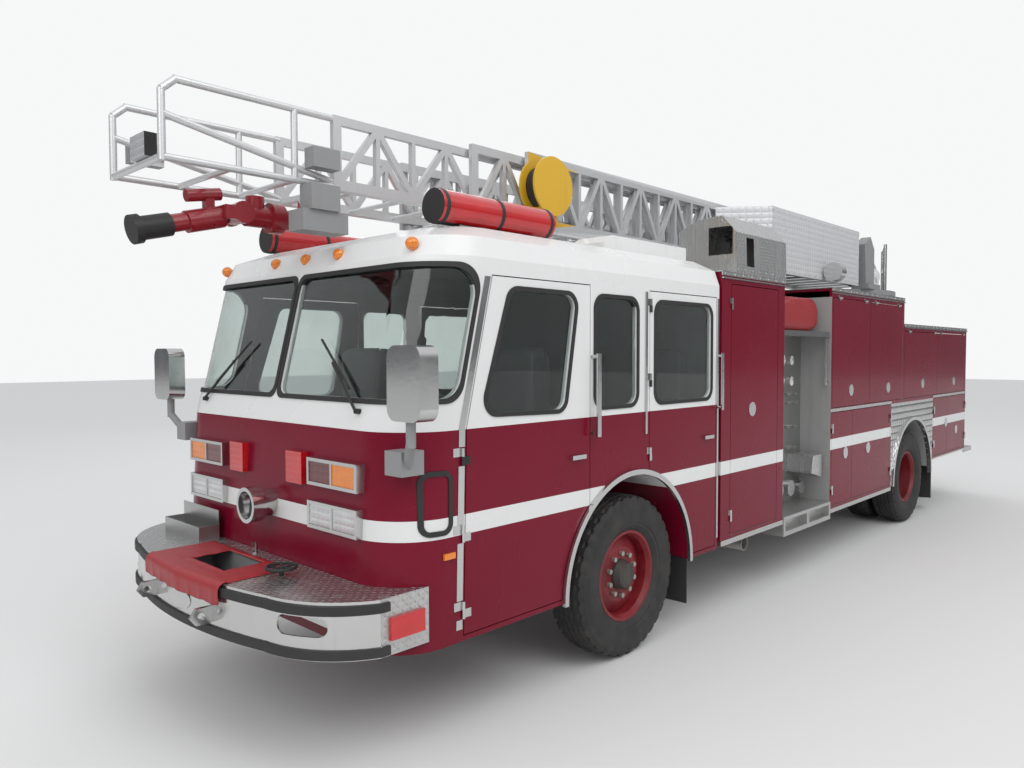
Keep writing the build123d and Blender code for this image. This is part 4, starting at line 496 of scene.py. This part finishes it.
# The body: bolted boxes of painted aluminium with flush pan doors, all in the cab's red, and the same
# white band along the lower doors only.
body_paint = livery("body_paint", 9.0)
bay_grey = dirty_finish("bay_grey", (0.30, 0.30, 0.30, 1), amount=0.2, reach=1.0, overall=0.2, rough=0.6,
                        bump=0.6, bump_scale=150)
dress("body_shell", body_paint, bay_grey,
      choose=lambda at, way: 1 if abs(at.y) < 1.212 and -5.15 < at.x < 1.72 and at.z < 2.62 else 0)
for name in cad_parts:
    if name.startswith("bay_"):
        dress(name, body_paint, bay_grey, bright_steel,
              choose=lambda at, way: 1 if abs(at.y) < 1.2185 else 2 if abs(at.y) > 1.2395 else 0)


# The bumper: a folded stainless face round the cab's corners with rolled tread plate on top, black
# rubber strips along its face and an enamelled hose tray sunk in its middle. Its badge place is bare.
flat_place, given, gives = group("flat_place", [("Pitch", "Float", 0.03)], [("U", "Float"), ("V", "Float")])
places = node(flat_place, "ShaderNodeTexCoord").outputs
spot = node(flat_place, "ShaderNodeSeparateXYZ", Vector=places["Object"]).outputs
faced = node(flat_place, "ShaderNodeSeparateXYZ", Vector=places["Normal"]).outputs
ahead = calc(flat_place, "GREATER_THAN", calc(flat_place, "ABSOLUTE", faced["X"]), 0.7)
upward = calc(flat_place, "GREATER_THAN", calc(flat_place, "ABSOLUTE", faced["Z"]), 0.7)
across = calc(flat_place, "ADD", calc(flat_place, "MULTIPLY", spot["Y"], ahead),
              calc(flat_place, "MULTIPLY", spot["X"], calc(flat_place, "SUBTRACT", 1.0, ahead)))
along = calc(flat_place, "ADD", calc(flat_place, "MULTIPLY", spot["Y"], upward),
             calc(flat_place, "MULTIPLY", spot["Z"], calc(flat_place, "SUBTRACT", 1.0, upward)))
flat_place.links.new(calc(flat_place, "DIVIDE", across, given["Pitch"]), gives["U"])
flat_place.links.new(calc(flat_place, "DIVIDE", along, given["Pitch"]), gives["V"])

diamonds, given, gives = group("diamonds", [("U", "Float", 0.0), ("V", "Float", 0.0)], [("Height", "Float")])
cell = calc(diamonds, "ADD", calc(diamonds, "FLOOR", given["U"]), calc(diamonds, "FLOOR", given["V"]))
odd = calc(diamonds, "GREATER_THAN", calc(diamonds, "FLOORED_MODULO", cell, 2.0), 0.5)
u = calc(diamonds, "SUBTRACT", calc(diamonds, "FRACT", given["U"]), 0.5)
v = calc(diamonds, "SUBTRACT", calc(diamonds, "FRACT", given["V"]), 0.5)
rising = calc(diamonds, "MULTIPLY", calc(diamonds, "ADD", u, v), 0.707)
falling = calc(diamonds, "MULTIPLY", calc(diamonds, "SUBTRACT", u, v), 0.707)
even = calc(diamonds, "SUBTRACT", 1.0, odd)
long_way = calc(diamonds, "ADD", calc(diamonds, "MULTIPLY", rising, odd), calc(diamonds, "MULTIPLY", falling, even))
short_way = calc(diamonds, "ADD", calc(diamonds, "MULTIPLY", rising, even), calc(diamonds, "MULTIPLY", falling, odd))
egg = calc(diamonds, "ADD", calc(diamonds, "POWER", calc(diamonds, "DIVIDE", long_way, 0.47), 2.0),
           calc(diamonds, "POWER", calc(diamonds, "DIVIDE", short_way, 0.15), 2.0))
egg = node(diamonds, "ShaderNodeClamp", Value=calc(diamonds, "MULTIPLY", calc(diamonds, "SUBTRACT", 1.0, egg), 1.6))
diamonds.links.new(egg.outputs[0], gives["Height"])


def patterned(name, paint, pitch, kind, depth, rough=0.2, overall=0.08, metallic=1.0):
    """A rolled sheet: kind is diamond, quilt or brushed."""
    made = dirty_finish(name, paint, (0.15, 0.125, 0.10, 1), amount=0.35, reach=1.0, overall=overall, rough=rough,
                        metallic=metallic)
    tree = made.node_tree
    shader = tree.nodes["Principled BSDF"]
    place = use(tree, flat_place, Pitch=pitch)
    if kind == "diamond":
        height = use(tree, diamonds, U=place["U"], V=place["V"])["Height"]
    elif kind == "quilt":
        first = calc(tree, "ABSOLUTE", calc(tree, "SINE", calc(tree, "MULTIPLY", place["U"], math.pi)))
        second = calc(tree, "ABSOLUTE", calc(tree, "SINE", calc(tree, "MULTIPLY", place["V"], math.pi)))
        height = calc(tree, "POWER", calc(tree, "MULTIPLY", first, second), 0.5)
    else:
        streak = node(tree, "ShaderNodeCombineXYZ", X=calc(tree, "MULTIPLY", place["U"], 0.03), Y=place["V"])
        height = node(tree, "ShaderNodeTexNoise", Vector=streak.outputs[0], Scale=1.0, Detail=4.0).outputs["Fac"]
    tree.links.new(node(tree, "ShaderNodeBump", Height=height, Strength=1.0, Distance=depth).outputs[0],
                   shader.inputs["Normal"])
    return made


tread_plate = patterned("tread_plate", (0.58, 0.58, 0.575, 1), 0.026, "diamond", 0.0022, 0.22, 0.12)
grey_enamel = dirty_finish("grey_enamel", (0.24, 0.245, 0.25, 1), overall=0.12, rough=0.45, bump=0.2, bump_scale=40)
tray_x0, tray_x1 = 4.98, 5.30
tray_half = 0.41
deck_z = 0.864
cheek_y = 1.2


def bumper_side(at, way):
    """Face 0, tread plate 1, tray 2."""
    if tray_x0 < at.x < tray_x1 and abs(at.y) < tray_half and at.z < deck_z + 0.004:
        return 2
    top = at.z > deck_z and way.z > 0.9
    cheek = abs(at.y) > cheek_y and at.x < tray_x0 and abs(way.y) > 0.9
    return 1 if top or cheek else 0


dress("bumper", bright_steel, tread_plate, grey_enamel, choose=bumper_side)
dress("edge_rubber", rubber_seal)
dress("rubber_trim", rubber_seal)


# Plates over the body: tread plate caps and steps screwed to the boxes, quilted stainless beside the
# rear wheels and plain folded sills below the doors.
quilted = patterned("quilted_sheet", (0.60, 0.60, 0.595, 1), 0.075, "quilt", 0.006, 0.16, 0.06)


def plate_side(at, way):
    """Tread plate 0, quilted 1, plain bright 2."""
    if abs(at.y) > 1.2 and at.z < 1.46 and at.x < -2.1 and at.x > -3.67:
        return 1
    if 0.475 < at.z < 0.692 and abs(at.y) > 1.177 and at.x > -5.181 and not -0.37 < at.x < 0.66:
        return 2
    return 0


dress("body_plates", tread_plate, quilted, bright_steel, choose=plate_side)


# The trim: polished strips, grab rails, latches, lamp bezels, siren horn and the roof's white housings,
# with mirrors on grey arms and a reflective strip of slanted bars above the low doors.
white_enamel = dirty_finish("white_enamel", (0.72, 0.725, 0.72, 1), overall=0.10, rough=0.35, coat=0.3, bump=0.1,
                            bump_scale=20)
black_plastic = dirty_finish("black_plastic", (0.014, 0.014, 0.015, 1), overall=0.05, rough=0.45, bump=0.3,
                             bump_scale=160)
brushed = patterned("brushed_steel", (0.50, 0.50, 0.495, 1), 0.002, "brushed", 0.0004, 0.3, 0.08)
mirror_glass = dirty_finish("mirror_glass", (0.86, 0.87, 0.88, 1), overall=0.02, rough=0.03, metallic=1.0)
slanted_strip = dirty_finish("slanted_strip", (0.6, 0.6, 0.6, 1), overall=0.1, rough=0.25, metallic=0.6)
tree = slanted_strip.node_tree
place = use(tree, flat_place, Pitch=0.045)
bars = calc(tree, "GREATER_THAN", calc(tree, "FRACT", calc(tree, "ADD", place["U"], place["V"])), 0.5)
tree.links.new(blended(tree, bars, (0.70, 0.70, 0.69, 1), (0.28, 0.28, 0.28, 1)),
               [piece for piece in tree.nodes if piece.bl_idname == "ShaderNodeGroup"][0].inputs["Paint"])


def trim_side(at, way):
    """Bright 0, white 1, grey 2, mirror 3, black 4, brushed 5, slanted strip 6."""
    if 4.69 < at.x < 4.905 and abs(at.y) > 1.1 and at.z > 1.43:
        if way.x < -0.9 and at.z > 1.72 and abs(at.y) > 1.23:
            return 3
        return 0 if at.z > 1.71 and abs(at.y) > 1.21 else 2
    if 1.9 < at.x < 3.0 and at.z > 2.72:
        return 1
    if at.x > 4.84 and math.hypot(at.y - 0.04, at.z - 1.17) < 0.045:
        return 4
    if 4.904 < at.x < 5.036 and -1.001 < at.y < -0.499:
        return 5
    if 1.457 < at.z < 1.489 and at.x < -0.37:
        return 6
    return 0


dress("bright_trim", bright_steel, white_enamel, grey_enamel, mirror_glass, black_plastic, brushed, slanted_strip,
      choose=trim_side)


# The lamps: moulded lenses over chromed bowls. Head lamps are clear, markers amber, flashers, light bar
# and tail lamps red.
def lens(name, colour, clear=0.0, glow=0.0, pitch=0.012):
    """A moulded lens with upright flutes and a chromed bowl that shines through."""
    made, tree, shader = new_finish(name)
    place = use(tree, flat_place, Pitch=pitch)
    flute = calc(tree, "ABSOLUTE", calc(tree, "SINE", calc(tree, "MULTIPLY", place["U"], math.pi)))
    level = calc(tree, "ABSOLUTE", calc(tree, "SINE", calc(tree, "MULTIPLY", place["V"], math.pi / 3)))
    patch = node(tree, "ShaderNodeTexNoise", Vector=node(tree, "ShaderNodeTexCoord").outputs["Object"], Scale=9.0,
                 Detail=3.0).outputs["Fac"]
    dark = [channel * 0.45 for channel in colour[:3]] + [1]
    tree.links.new(blended(tree, calc(tree, "MULTIPLY", flute, patch), colour, dark), shader.inputs["Base Color"])
    shader.inputs["Roughness"].default_value = 0.12
    shader.inputs["Metallic"].default_value = clear
    shader.inputs["Coat Weight"].default_value = 0.9
    shader.inputs["Coat Roughness"].default_value = 0.03
    shader.inputs["Emission Color"].default_value = colour
    shader.inputs["Emission Strength"].default_value = glow
    tree.links.new(node(tree, "ShaderNodeBump", Height=calc(tree, "MULTIPLY", flute, level), Strength=0.6,
                        Distance=0.002).outputs[0], shader.inputs["Normal"])
    return made


clear_lens = lens("clear_lens", (0.82, 0.83, 0.84, 1), 0.85)
red_lens = lens("red_lens", (0.55, 0.008, 0.012, 1), 0.15, 0.06)
amber_lens = lens("amber_lens", (0.80, 0.22, 0.01, 1), 0.15, 0.06)
dull_lens = lens("dull_red_lens", (0.14, 0.012, 0.014, 1), 0.3)


def lamp_side(at, way):
    """Red 0, clear 1, amber 2, dull red 3, black 4."""
    if at.z > 2.7:
        return 4 if at.x < 3.44 or at.x > 4.31 or (abs(way.z) > 0.9 and at.z < 2.75) else 0
    if at.z > 2.55:
        return 2
    if at.x > 4.82 and at.z > 1.05:
        if at.z < 1.30:
            return 1
        if abs(at.y) < 0.42:
            return 0
        return 2 if abs(at.y) > 0.715 else 3
    if at.x < -5.17:
        return 1 if at.z < 1.06 else 2 if at.z < 1.22 else 0
    return 2 if at.z > 0.9 else 0


dress("lamps", red_lens, clear_lens, amber_lens, dull_lens, black_plastic, choose=lamp_side)


# The light bars' clamps: narrow black bands of pressed strip round each red cover, at its ends and in
# its middle, screwed to the bar's base.
clamp_places = (3.448, 3.876, 4.303)
bar_y, bar_z = 0.905, 2.8402
band = ((0.0955, -0.014), (0.0985, -0.012), (0.0985, 0.012), (0.0955, 0.014))
around = 40
maker = bmesh.new()
for side in (1, -1):
    for x in clamp_places:
        rings = []
        for out, away in band:
            rings.append([maker.verts.new((x + away, side * bar_y + out * math.cos(turn * 2 * math.pi / around),
                                           bar_z + out * math.sin(turn * 2 * math.pi / around)))
                          for turn in range(around)])
        for near, far in zip(rings, rings[1:]):
            for turn in range(around):
                following = (turn + 1) % around
                maker.faces.new((near[turn], near[following], far[following], far[turn]))
bmesh.ops.recalc_face_normals(maker, faces=maker.faces)
mesh = bpy.data.meshes.new("light_bar_clamps")
maker.to_mesh(mesh)
finish_piece(mesh, "light_bar_clamps", black_plastic, "chassis", 40)


# The pump panels: brushed stainless between the bodies, with white dials under bright rims. The marks
# and the hand of each dial are printed and pressed black.
dial_white, tree, shader = new_finish("dial_white")
grime = node(tree, "ShaderNodeTexNoise", Vector=node(tree, "ShaderNodeTexCoord").outputs["Object"], Scale=30.0,
             Detail=3.0).outputs["Fac"]
tree.links.new(blended(tree, calc(tree, "MULTIPLY", grime, 0.3), (0.82, 0.82, 0.80, 1), (0.6, 0.58, 0.53, 1)),
               shader.inputs["Base Color"])
shader.inputs["Roughness"].default_value = 0.3
shader.inputs["Coat Weight"].default_value = 0.8
gauges = [(0.300, 1.960, 0.062), (0.080, 1.960, 0.062), (-0.120, 1.960, 0.048), (0.300, 1.760, 0.055),
          (0.080, 1.760, 0.048), (-0.120, 1.760, 0.048)]


def panel_side(at, way):
    """Brushed 0, dial 1, shelf 2."""
    if 2.178 < at.z < 2.232:
        return 2
    if abs(way.y) > 0.9:
        for x, z, r in gauges:
            if math.hypot(at.x - x, at.z - z) < r * 0.8:
                return 1
    return 0


dress("pump_panel", brushed, dial_white, bright_steel, choose=panel_side)
mark_t = 0.0012
maker = bmesh.new()
for side in (1, -1):
    for number, (x, z, r) in enumerate(gauges):
        faces = [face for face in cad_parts["pump_panel"].data.polygons
                 if face.material_index == 1 and math.hypot(face.center.x - x, face.center.z - z) < r
                 and face.center.y * side > 0]
        if not faces:
            continue
        y = max(face.center.y * side for face in faces) + mark_t
        for step in range(11):
            turn = math.radians(-135 + 27 * step)
            inner, outer = r * (0.52 if step % 5 == 0 else 0.60), r * 0.72
            made = bmesh.ops.create_cube(maker, size=1.0)
            shape = Matrix.Translation((x + math.sin(turn) * (inner + outer) / 2, side * y,
                                        z + math.cos(turn) * (inner + outer) / 2))
            shape = shape @ Matrix.Rotation(turn, 4, "Y") @ Matrix.Diagonal((0.0016, mark_t, outer - inner, 1))
            bmesh.ops.transform(maker, matrix=shape, verts=made["verts"])
        turn = math.radians(-100 + 33 * (number % 3))
        made = bmesh.ops.create_cube(maker, size=1.0)
        shape = Matrix.Translation((x + math.sin(turn) * r * 0.25, side * (y + mark_t),
                                    z + math.cos(turn) * r * 0.25))
        shape = shape @ Matrix.Rotation(turn, 4, "Y") @ Matrix.Diagonal((0.0028, 0.0014, r * 0.72, 1))
        bmesh.ops.transform(maker, matrix=shape, verts=made["verts"])
mesh = bpy.data.meshes.new("dial_marks")
maker.to_mesh(mesh)
finish_piece(mesh, "dial_marks", black_plastic, "chassis", smooth=0)


# The turntable: a steel deck with tread plate over it, white heel brackets for the ladder, a grey
# console and a bright guard rail, all bolted on.
def turntable_side(at, way):
    """Grey 0, tread plate 1, bright 2, white 3."""
    if at.z < 2.785:
        return 1 if way.z > 0.9 else 0
    if at.y > 0.62 and at.x < -2.8:
        return 2
    return 3 if abs(at.y) < 0.5 else 0


dress("turntable", grey_enamel, tread_plate, bright_steel, white_enamel, choose=turntable_side)


# The base and mid sections: welded alloy rails and rungs, with quilted shields riveted beside the base,
# round spotlights and a yellow cable reel.
alloy = patterned("ladder_alloy", (0.68, 0.685, 0.69, 1), 0.003, "brushed", 0.0005, 0.38, 0.10, 0.75)
shield_sheet = patterned("shield_sheet", (0.62, 0.63, 0.64, 1), 0.055, "quilt", 0.004, 0.42, 0.06, 0.35)
yellow_enamel = dirty_finish("yellow_enamel", (0.62, 0.36, 0.01, 1), overall=0.10, rough=0.4, coat=0.2, bump=0.15,
                             bump_scale=50)


def base_side(at, way):
    """Alloy 0, shield 1, bright 2, yellow 3, lens 4, black 5."""
    if 2.75 < at.x < 3.17 and at.y > 0.442:
        wound = abs(way.y) < 0.3 and math.hypot(at.x - 2.96, at.z - 3.2) < 0.17 and at.z > 3.06
        return 5 if wound else 3
    if -1.22 < at.x < -1.085 and abs(at.y) > 0.855 and at.z < 2.98:
        return 4 if way.x < -0.9 else 2
    if -2.14 < at.x < 0.44 and abs(at.y) > 0.4425:
        return 2 if at.z > 3.4115 and way.z > 0.9 else 1
    return 0


dress("ladder_base", alloy, shield_sheet, bright_steel, yellow_enamel, clear_lens, black_plastic, choose=base_side)
dress("ladder_mid", alloy)


# The fly section: welded alloy with bent rails at its tip, grey boxes and a floodlight bolted to it,
# and a crimson waterway below.
crimson_enamel = dirty_finish("crimson_enamel", (0.25, 0.006, 0.014, 1), overall=0.05, rough=0.25, coat=0.5)


def fly_side(at, way):
    """Alloy 0, grey 1, crimson 2, black 3, lens 4."""
    if at.x > 5.52 and 0.015 < at.y < 0.205 and at.z > 3.02:
        return 4 if way.x > 0.9 else 3
    if 4.535 < at.x < 4.84 and at.y > 0.245 and at.z < 2.97:
        return 1
    if (4.6 < at.x < 4.78 and at.y > 0.34) or (5.27 < at.x < 5.46 and at.y < -0.336):
        return 1
    if at.x > 4.49 and math.hypot(at.y, at.z - 2.82) < 0.12:
        return 2
    return 0


dress("ladder_fly", alloy, grey_enamel, crimson_enamel, black_plastic, clear_lens, choose=fly_side)


# The monitor: crimson castings and a black moulded nozzle with a pale band, bolted together at the end
# of the waterway, where it pitches up and down.
def monitor_side(at, way):
    """Crimson 0, black 1, pale band 2."""
    if 5.385 < at.x < 5.41:
        return 2
    return 1 if at.x > 5.38 else 0


dress("monitor", crimson_enamel, black_plastic, white_enamel, choose=monitor_side)


# The cylinders and stabilizers: grey barrels and legs, chromed rods and white beams that slide in the
# housing behind the rear axle.
dress("lift_barrels", grey_enamel)
dress("lift_rods", bright_steel)
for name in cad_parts:
    if name.startswith("stabilizer_"):
        dress(name, white_enamel if "beam" in name else grey_enamel)


# The cab's inside: engine cover, dash and seat boxes moulded in dull grey plastic and bolted to the
# floor, with a steering wheel of the same grey on its column.
dress("cab_interior", lining)


# The seats: foam cushions and backs under dark vinyl sewn in channels, two in front and three behind.
# Each is bolted to a box on the cab's floor.
seat_vinyl = dirty_finish("seat_vinyl", (0.030, 0.031, 0.034, 1), overall=0.06, rough=0.5, bump=0.35, bump_scale=210)


def pillow(maker, low, high, channels, firm=7.0, count=24, slack=0.006):
    """A crowned closed form within a box, with sewn channels across it and small wrinkles."""
    middle, half = (low + high) / 2, (high - low) / 2
    made = {}

    def corner(place):
        """The point of the form that a point of the cube's surface moves to."""
        key = tuple(round(value, 4) for value in place)
        if key not in made:
            size = sum(abs(value) ** firm for value in place) ** (1 / firm)
            q = Vector(place) / size
            sewn = abs(((q.y + 1) / 2 * channels) % 1.0 - 0.5) * 2
            soft = noise.noise(Vector((q.x * 2.1, q.y * 2.4, q.z * 2.2)) + middle)
            q *= (1.0 - 0.05 * max(0.0, (sewn - 0.86) / 0.14)) * (0.985 - abs(soft) * 0.03)
            sag = abs(soft) * slack * max(0.0, q.z)
            made[key] = maker.verts.new((middle.x + q.x * half.x, middle.y + q.y * half.y,
                                         middle.z + q.z * half.z - sag))
        return made[key]
    for axis in range(3):
        for end in (-1, 1):
            for i in range(count):
                for j in range(count):
                    quad = []
                    for di, dj in ((0, 0), (1, 0), (1, 1), (0, 1)):
                        place = [0.0, 0.0, 0.0]
                        place[axis] = float(end)
                        place[(axis + 1) % 3] = -1 + 2 * (i + di) / count
                        place[(axis + 2) % 3] = -1 + 2 * (j + dj) / count
                        quad.append(corner(place))
                    maker.faces.new(quad if end > 0 else quad[::-1])


number = 0
for places, half, pads in (
    ((0.780, -0.780), 0.240, (((3.550, 1.262), (4.030, 1.420)), ((3.470, 1.422), (3.660, 2.080)))),
    ((0.760, 0.0, -0.760), 0.230, (((1.840, 1.300), (2.300, 1.430)), ((1.840, 1.432), (1.940, 2.060)))),
):
    for y in places:
        maker = bmesh.new()
        for (x0, z0), (x1, z1) in pads:
            pillow(maker, Vector((x0, y - half, z0)), Vector((x1, y + half, z1)), 5)
        mesh = bpy.data.meshes.new("seat_%d" % number)
        maker.to_mesh(mesh)
        seat = finish_piece(mesh, "seat_%d" % number, seat_vinyl, "chassis", 60)
        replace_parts(seat, "seats")
        number += 1


# The covers: red coated cloth, one laced over the bumper's hose tray with a hole for the nozzle and a
# flap down the bumper's face, and a slack bag on each pump panel's shelf.
cover_vinyl = dirty_finish("cover_vinyl", (0.30, 0.010, 0.016, 1), (0.12, 0.07, 0.06, 1), amount=0.3, reach=1.1,
                           overall=0.10, rough=0.38, bump=0.25, bump_scale=160)

cover_x0, cover_x1, cover_half, cover_z = 4.960, 5.320, 0.450, 0.8745
hole_x0, hole_x1, hole_y0, hole_y1 = 5.020, 5.240, -0.130, 0.250
face_slope = 0.0632
wide, deep, drop = 90, 36, 14
flap = [(5.330, 0.8805), (5.345, 0.8800), (5.360, 0.8795), (5.372, 0.8780), (5.384, 0.8740), (5.394, 0.8670),
        (5.400, 0.8570), (5.403, 0.8450), (5.4035, 0.8320), (5.403, 0.8190), (5.402, 0.8060), (5.401, 0.7930),
        (5.400, 0.7800), (5.4005, 0.7720)]
maker = bmesh.new()
grid = {}
for i in range(wide + 1):
    y = -cover_half + 2 * cover_half * i / wide
    for j in range(deep + drop + 1):
        if j > deep:
            out, high = flap[j - deep - 1]
            blouse = 0.004 * max(0.0, math.sin(y * 52)) * ridge(j - deep, 5, 14)
            fade = ridge(j - deep, 0, 5)
            grid[i, j] = maker.verts.new((out - abs(y) * face_slope * fade + blouse, y,
                                          high - 0.006 * abs(math.sin(y * 21)) * ridge(j - deep, 8, 14)))
            continue
        x = cover_x0 + (cover_x1 - cover_x0) * j / deep
        edge = min(y + cover_half, cover_half - y, x - cover_x0)
        hole = max(hole_x0 - x, x - hole_x1, hole_y0 - y, y - hole_y1)
        rise = 0.008 * ridge(edge, 0.0, 0.02) + 0.003 * noise.noise(Vector((x * 14, y * 9, j * 0.1)))
        if 0 < hole < 0.02:
            rise += 0.003
        grid[i, j] = maker.verts.new((x, y, cover_z + max(0.0, rise)))
for i in range(wide):
    for j in range(deep + drop):
        x = cover_x0 + (cover_x1 - cover_x0) * (j + 0.5) / deep
        y = -cover_half + 2 * cover_half * (i + 0.5) / wide
        if j < deep and hole_x0 < x < hole_x1 and hole_y0 < y < hole_y1:
            continue
        maker.faces.new((grid[i, j], grid[i, j + 1], grid[i + 1, j + 1], grid[i + 1, j]))
bmesh.ops.delete(maker, geom=[vert for vert in maker.verts if not vert.link_faces], context="VERTS")
bmesh.ops.recalc_face_normals(maker, faces=maker.faces)
mesh = bpy.data.meshes.new("tray_cover")
maker.to_mesh(mesh)
cover = finish_piece(mesh, "tray_cover", cover_vinyl, "chassis", 60)
thick = cover.modifiers.new("thick", "SOLIDIFY")
thick.thickness = 0.002
thick.offset = 0.0
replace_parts(cover, "vinyl_covers")
for hand, side in (("left", 1), ("right", -1)):
    inner, outer = side * 0.947, side * 1.158
    low = Vector((-0.350, min(inner, outer), 2.231))
    high = Vector((0.640, max(inner, outer), 2.556))
    maker = bmesh.new()
    pillow(maker, low, high, 1, firm=4.0, count=36, slack=0.12)
    mesh = bpy.data.meshes.new("recess_bag_" + hand)
    maker.to_mesh(mesh)
    bag = finish_piece(mesh, "recess_bag_" + hand, cover_vinyl, "chassis", 60)
    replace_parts(bag, "vinyl_covers")


# Fasteners: dome-headed rivets hold the tread plate caps, the shields, the light boxes and the panels
# beside the rear wheels.
def rivets(name, places, way, radius, finish):
    """Low domes that stand on the side faces; way is +1 or -1 along Y."""
    maker = bmesh.new()
    for x, y, z in places:
        rings = []
        for size, rise in ((1.0, 0.0), (0.92, 0.25), (0.6, 0.48)):
            rings.append([maker.verts.new((x + radius * size * math.cos(turn * math.pi / 5), y + way * radius * rise,
                                           z + radius * size * math.sin(turn * math.pi / 5))) for turn in range(10)])
        top = maker.verts.new((x, y + way * radius * 0.55, z))
        for lower, upper in zip(rings, rings[1:]):
            for turn in range(10):
                maker.faces.new((lower[turn], lower[(turn + 1) % 10], upper[(turn + 1) % 10], upper[turn]))
        for turn in range(10):
            maker.faces.new((rings[-1][turn], rings[-1][(turn + 1) % 10], top))
    bmesh.ops.recalc_face_normals(maker, faces=maker.faces)
    mesh = bpy.data.meshes.new(name)
    maker.to_mesh(mesh)
    return finish_piece(mesh, name, finish, "ladder_base" if name.startswith("shield") else "chassis", 50)


def row(first, last, step):
    """Even places from one value to another."""
    count = max(1, round((last - first) / step))
    return [first + (last - first) * i / count for i in range(count + 1)]


cap_face, panel_face, shield_face = 1.2441, 1.2381, 0.8501
for hand, side in (("left", 1), ("right", -1)):
    spots = [(x, side * cap_face, 2.636) for x in row(0.70, 1.71, 0.15) + row(-2.46, -0.41, 0.15)]
    spots += [(x, side * cap_face, 2.342) for x in row(-5.14, -2.54, 0.15)]
    spots += [(x, side * panel_face, z) for x in row(0.66, 1.49, 0.12) for z in (2.685, 3.088)]
    spots += [(x, side * panel_face, 1.435) for x in row(-3.64, -2.13, 0.15)]
    spots += [(x, side * cap_face, 0.500) for x in row(-2.07, -0.41, 0.2)]
    rivets("body_rivets_" + hand, spots, side, 0.0075, bright_steel)
    spots = [(x, side * shield_face, z) for x in row(-2.10, 0.07, 0.12) for z in (2.825, 3.385)]
    spots += [(x, side * shield_face, z) for z in row(2.825, 3.385, 0.14) for x in (-2.10, -1.02, 0.07)]
    rivets("shield_rivets_" + hand, spots, side, 0.007, bright_steel)


# The oval plate: a bare pressed stainless badge plate that closes the middle of the bumper's face and
# follows its two flats.
badge_x, badge_z, badge_half, badge_high, badge_steps = 5.3855, 0.727, 0.145, 0.062, 48
maker = bmesh.new()
loops = []
for size, rise in ((1.0, 0.0), (1.0, 0.004), (0.93, 0.007), (0.86, 0.006), (0.4, 0.009)):
    loop = []
    for turn in range(badge_steps):
        angle = turn * 2 * math.pi / badge_steps
        y = badge_half * size * math.cos(angle)
        loop.append(maker.verts.new((badge_x + rise - abs(y) * face_slope, y,
                                     badge_z + badge_high * size * math.sin(angle))))
    loops.append(loop)
for lower, upper in zip(loops, loops[1:]):
    for turn in range(badge_steps):
        following = (turn + 1) % badge_steps
        maker.faces.new((lower[turn], lower[following], upper[following], upper[turn]))
maker.faces.new(loops[-1])
bmesh.ops.recalc_face_normals(maker, faces=maker.faces)
mesh = bpy.data.meshes.new("oval_plate")
maker.to_mesh(mesh)
finish_piece(mesh, "oval_plate", bright_steel, "chassis", 40)
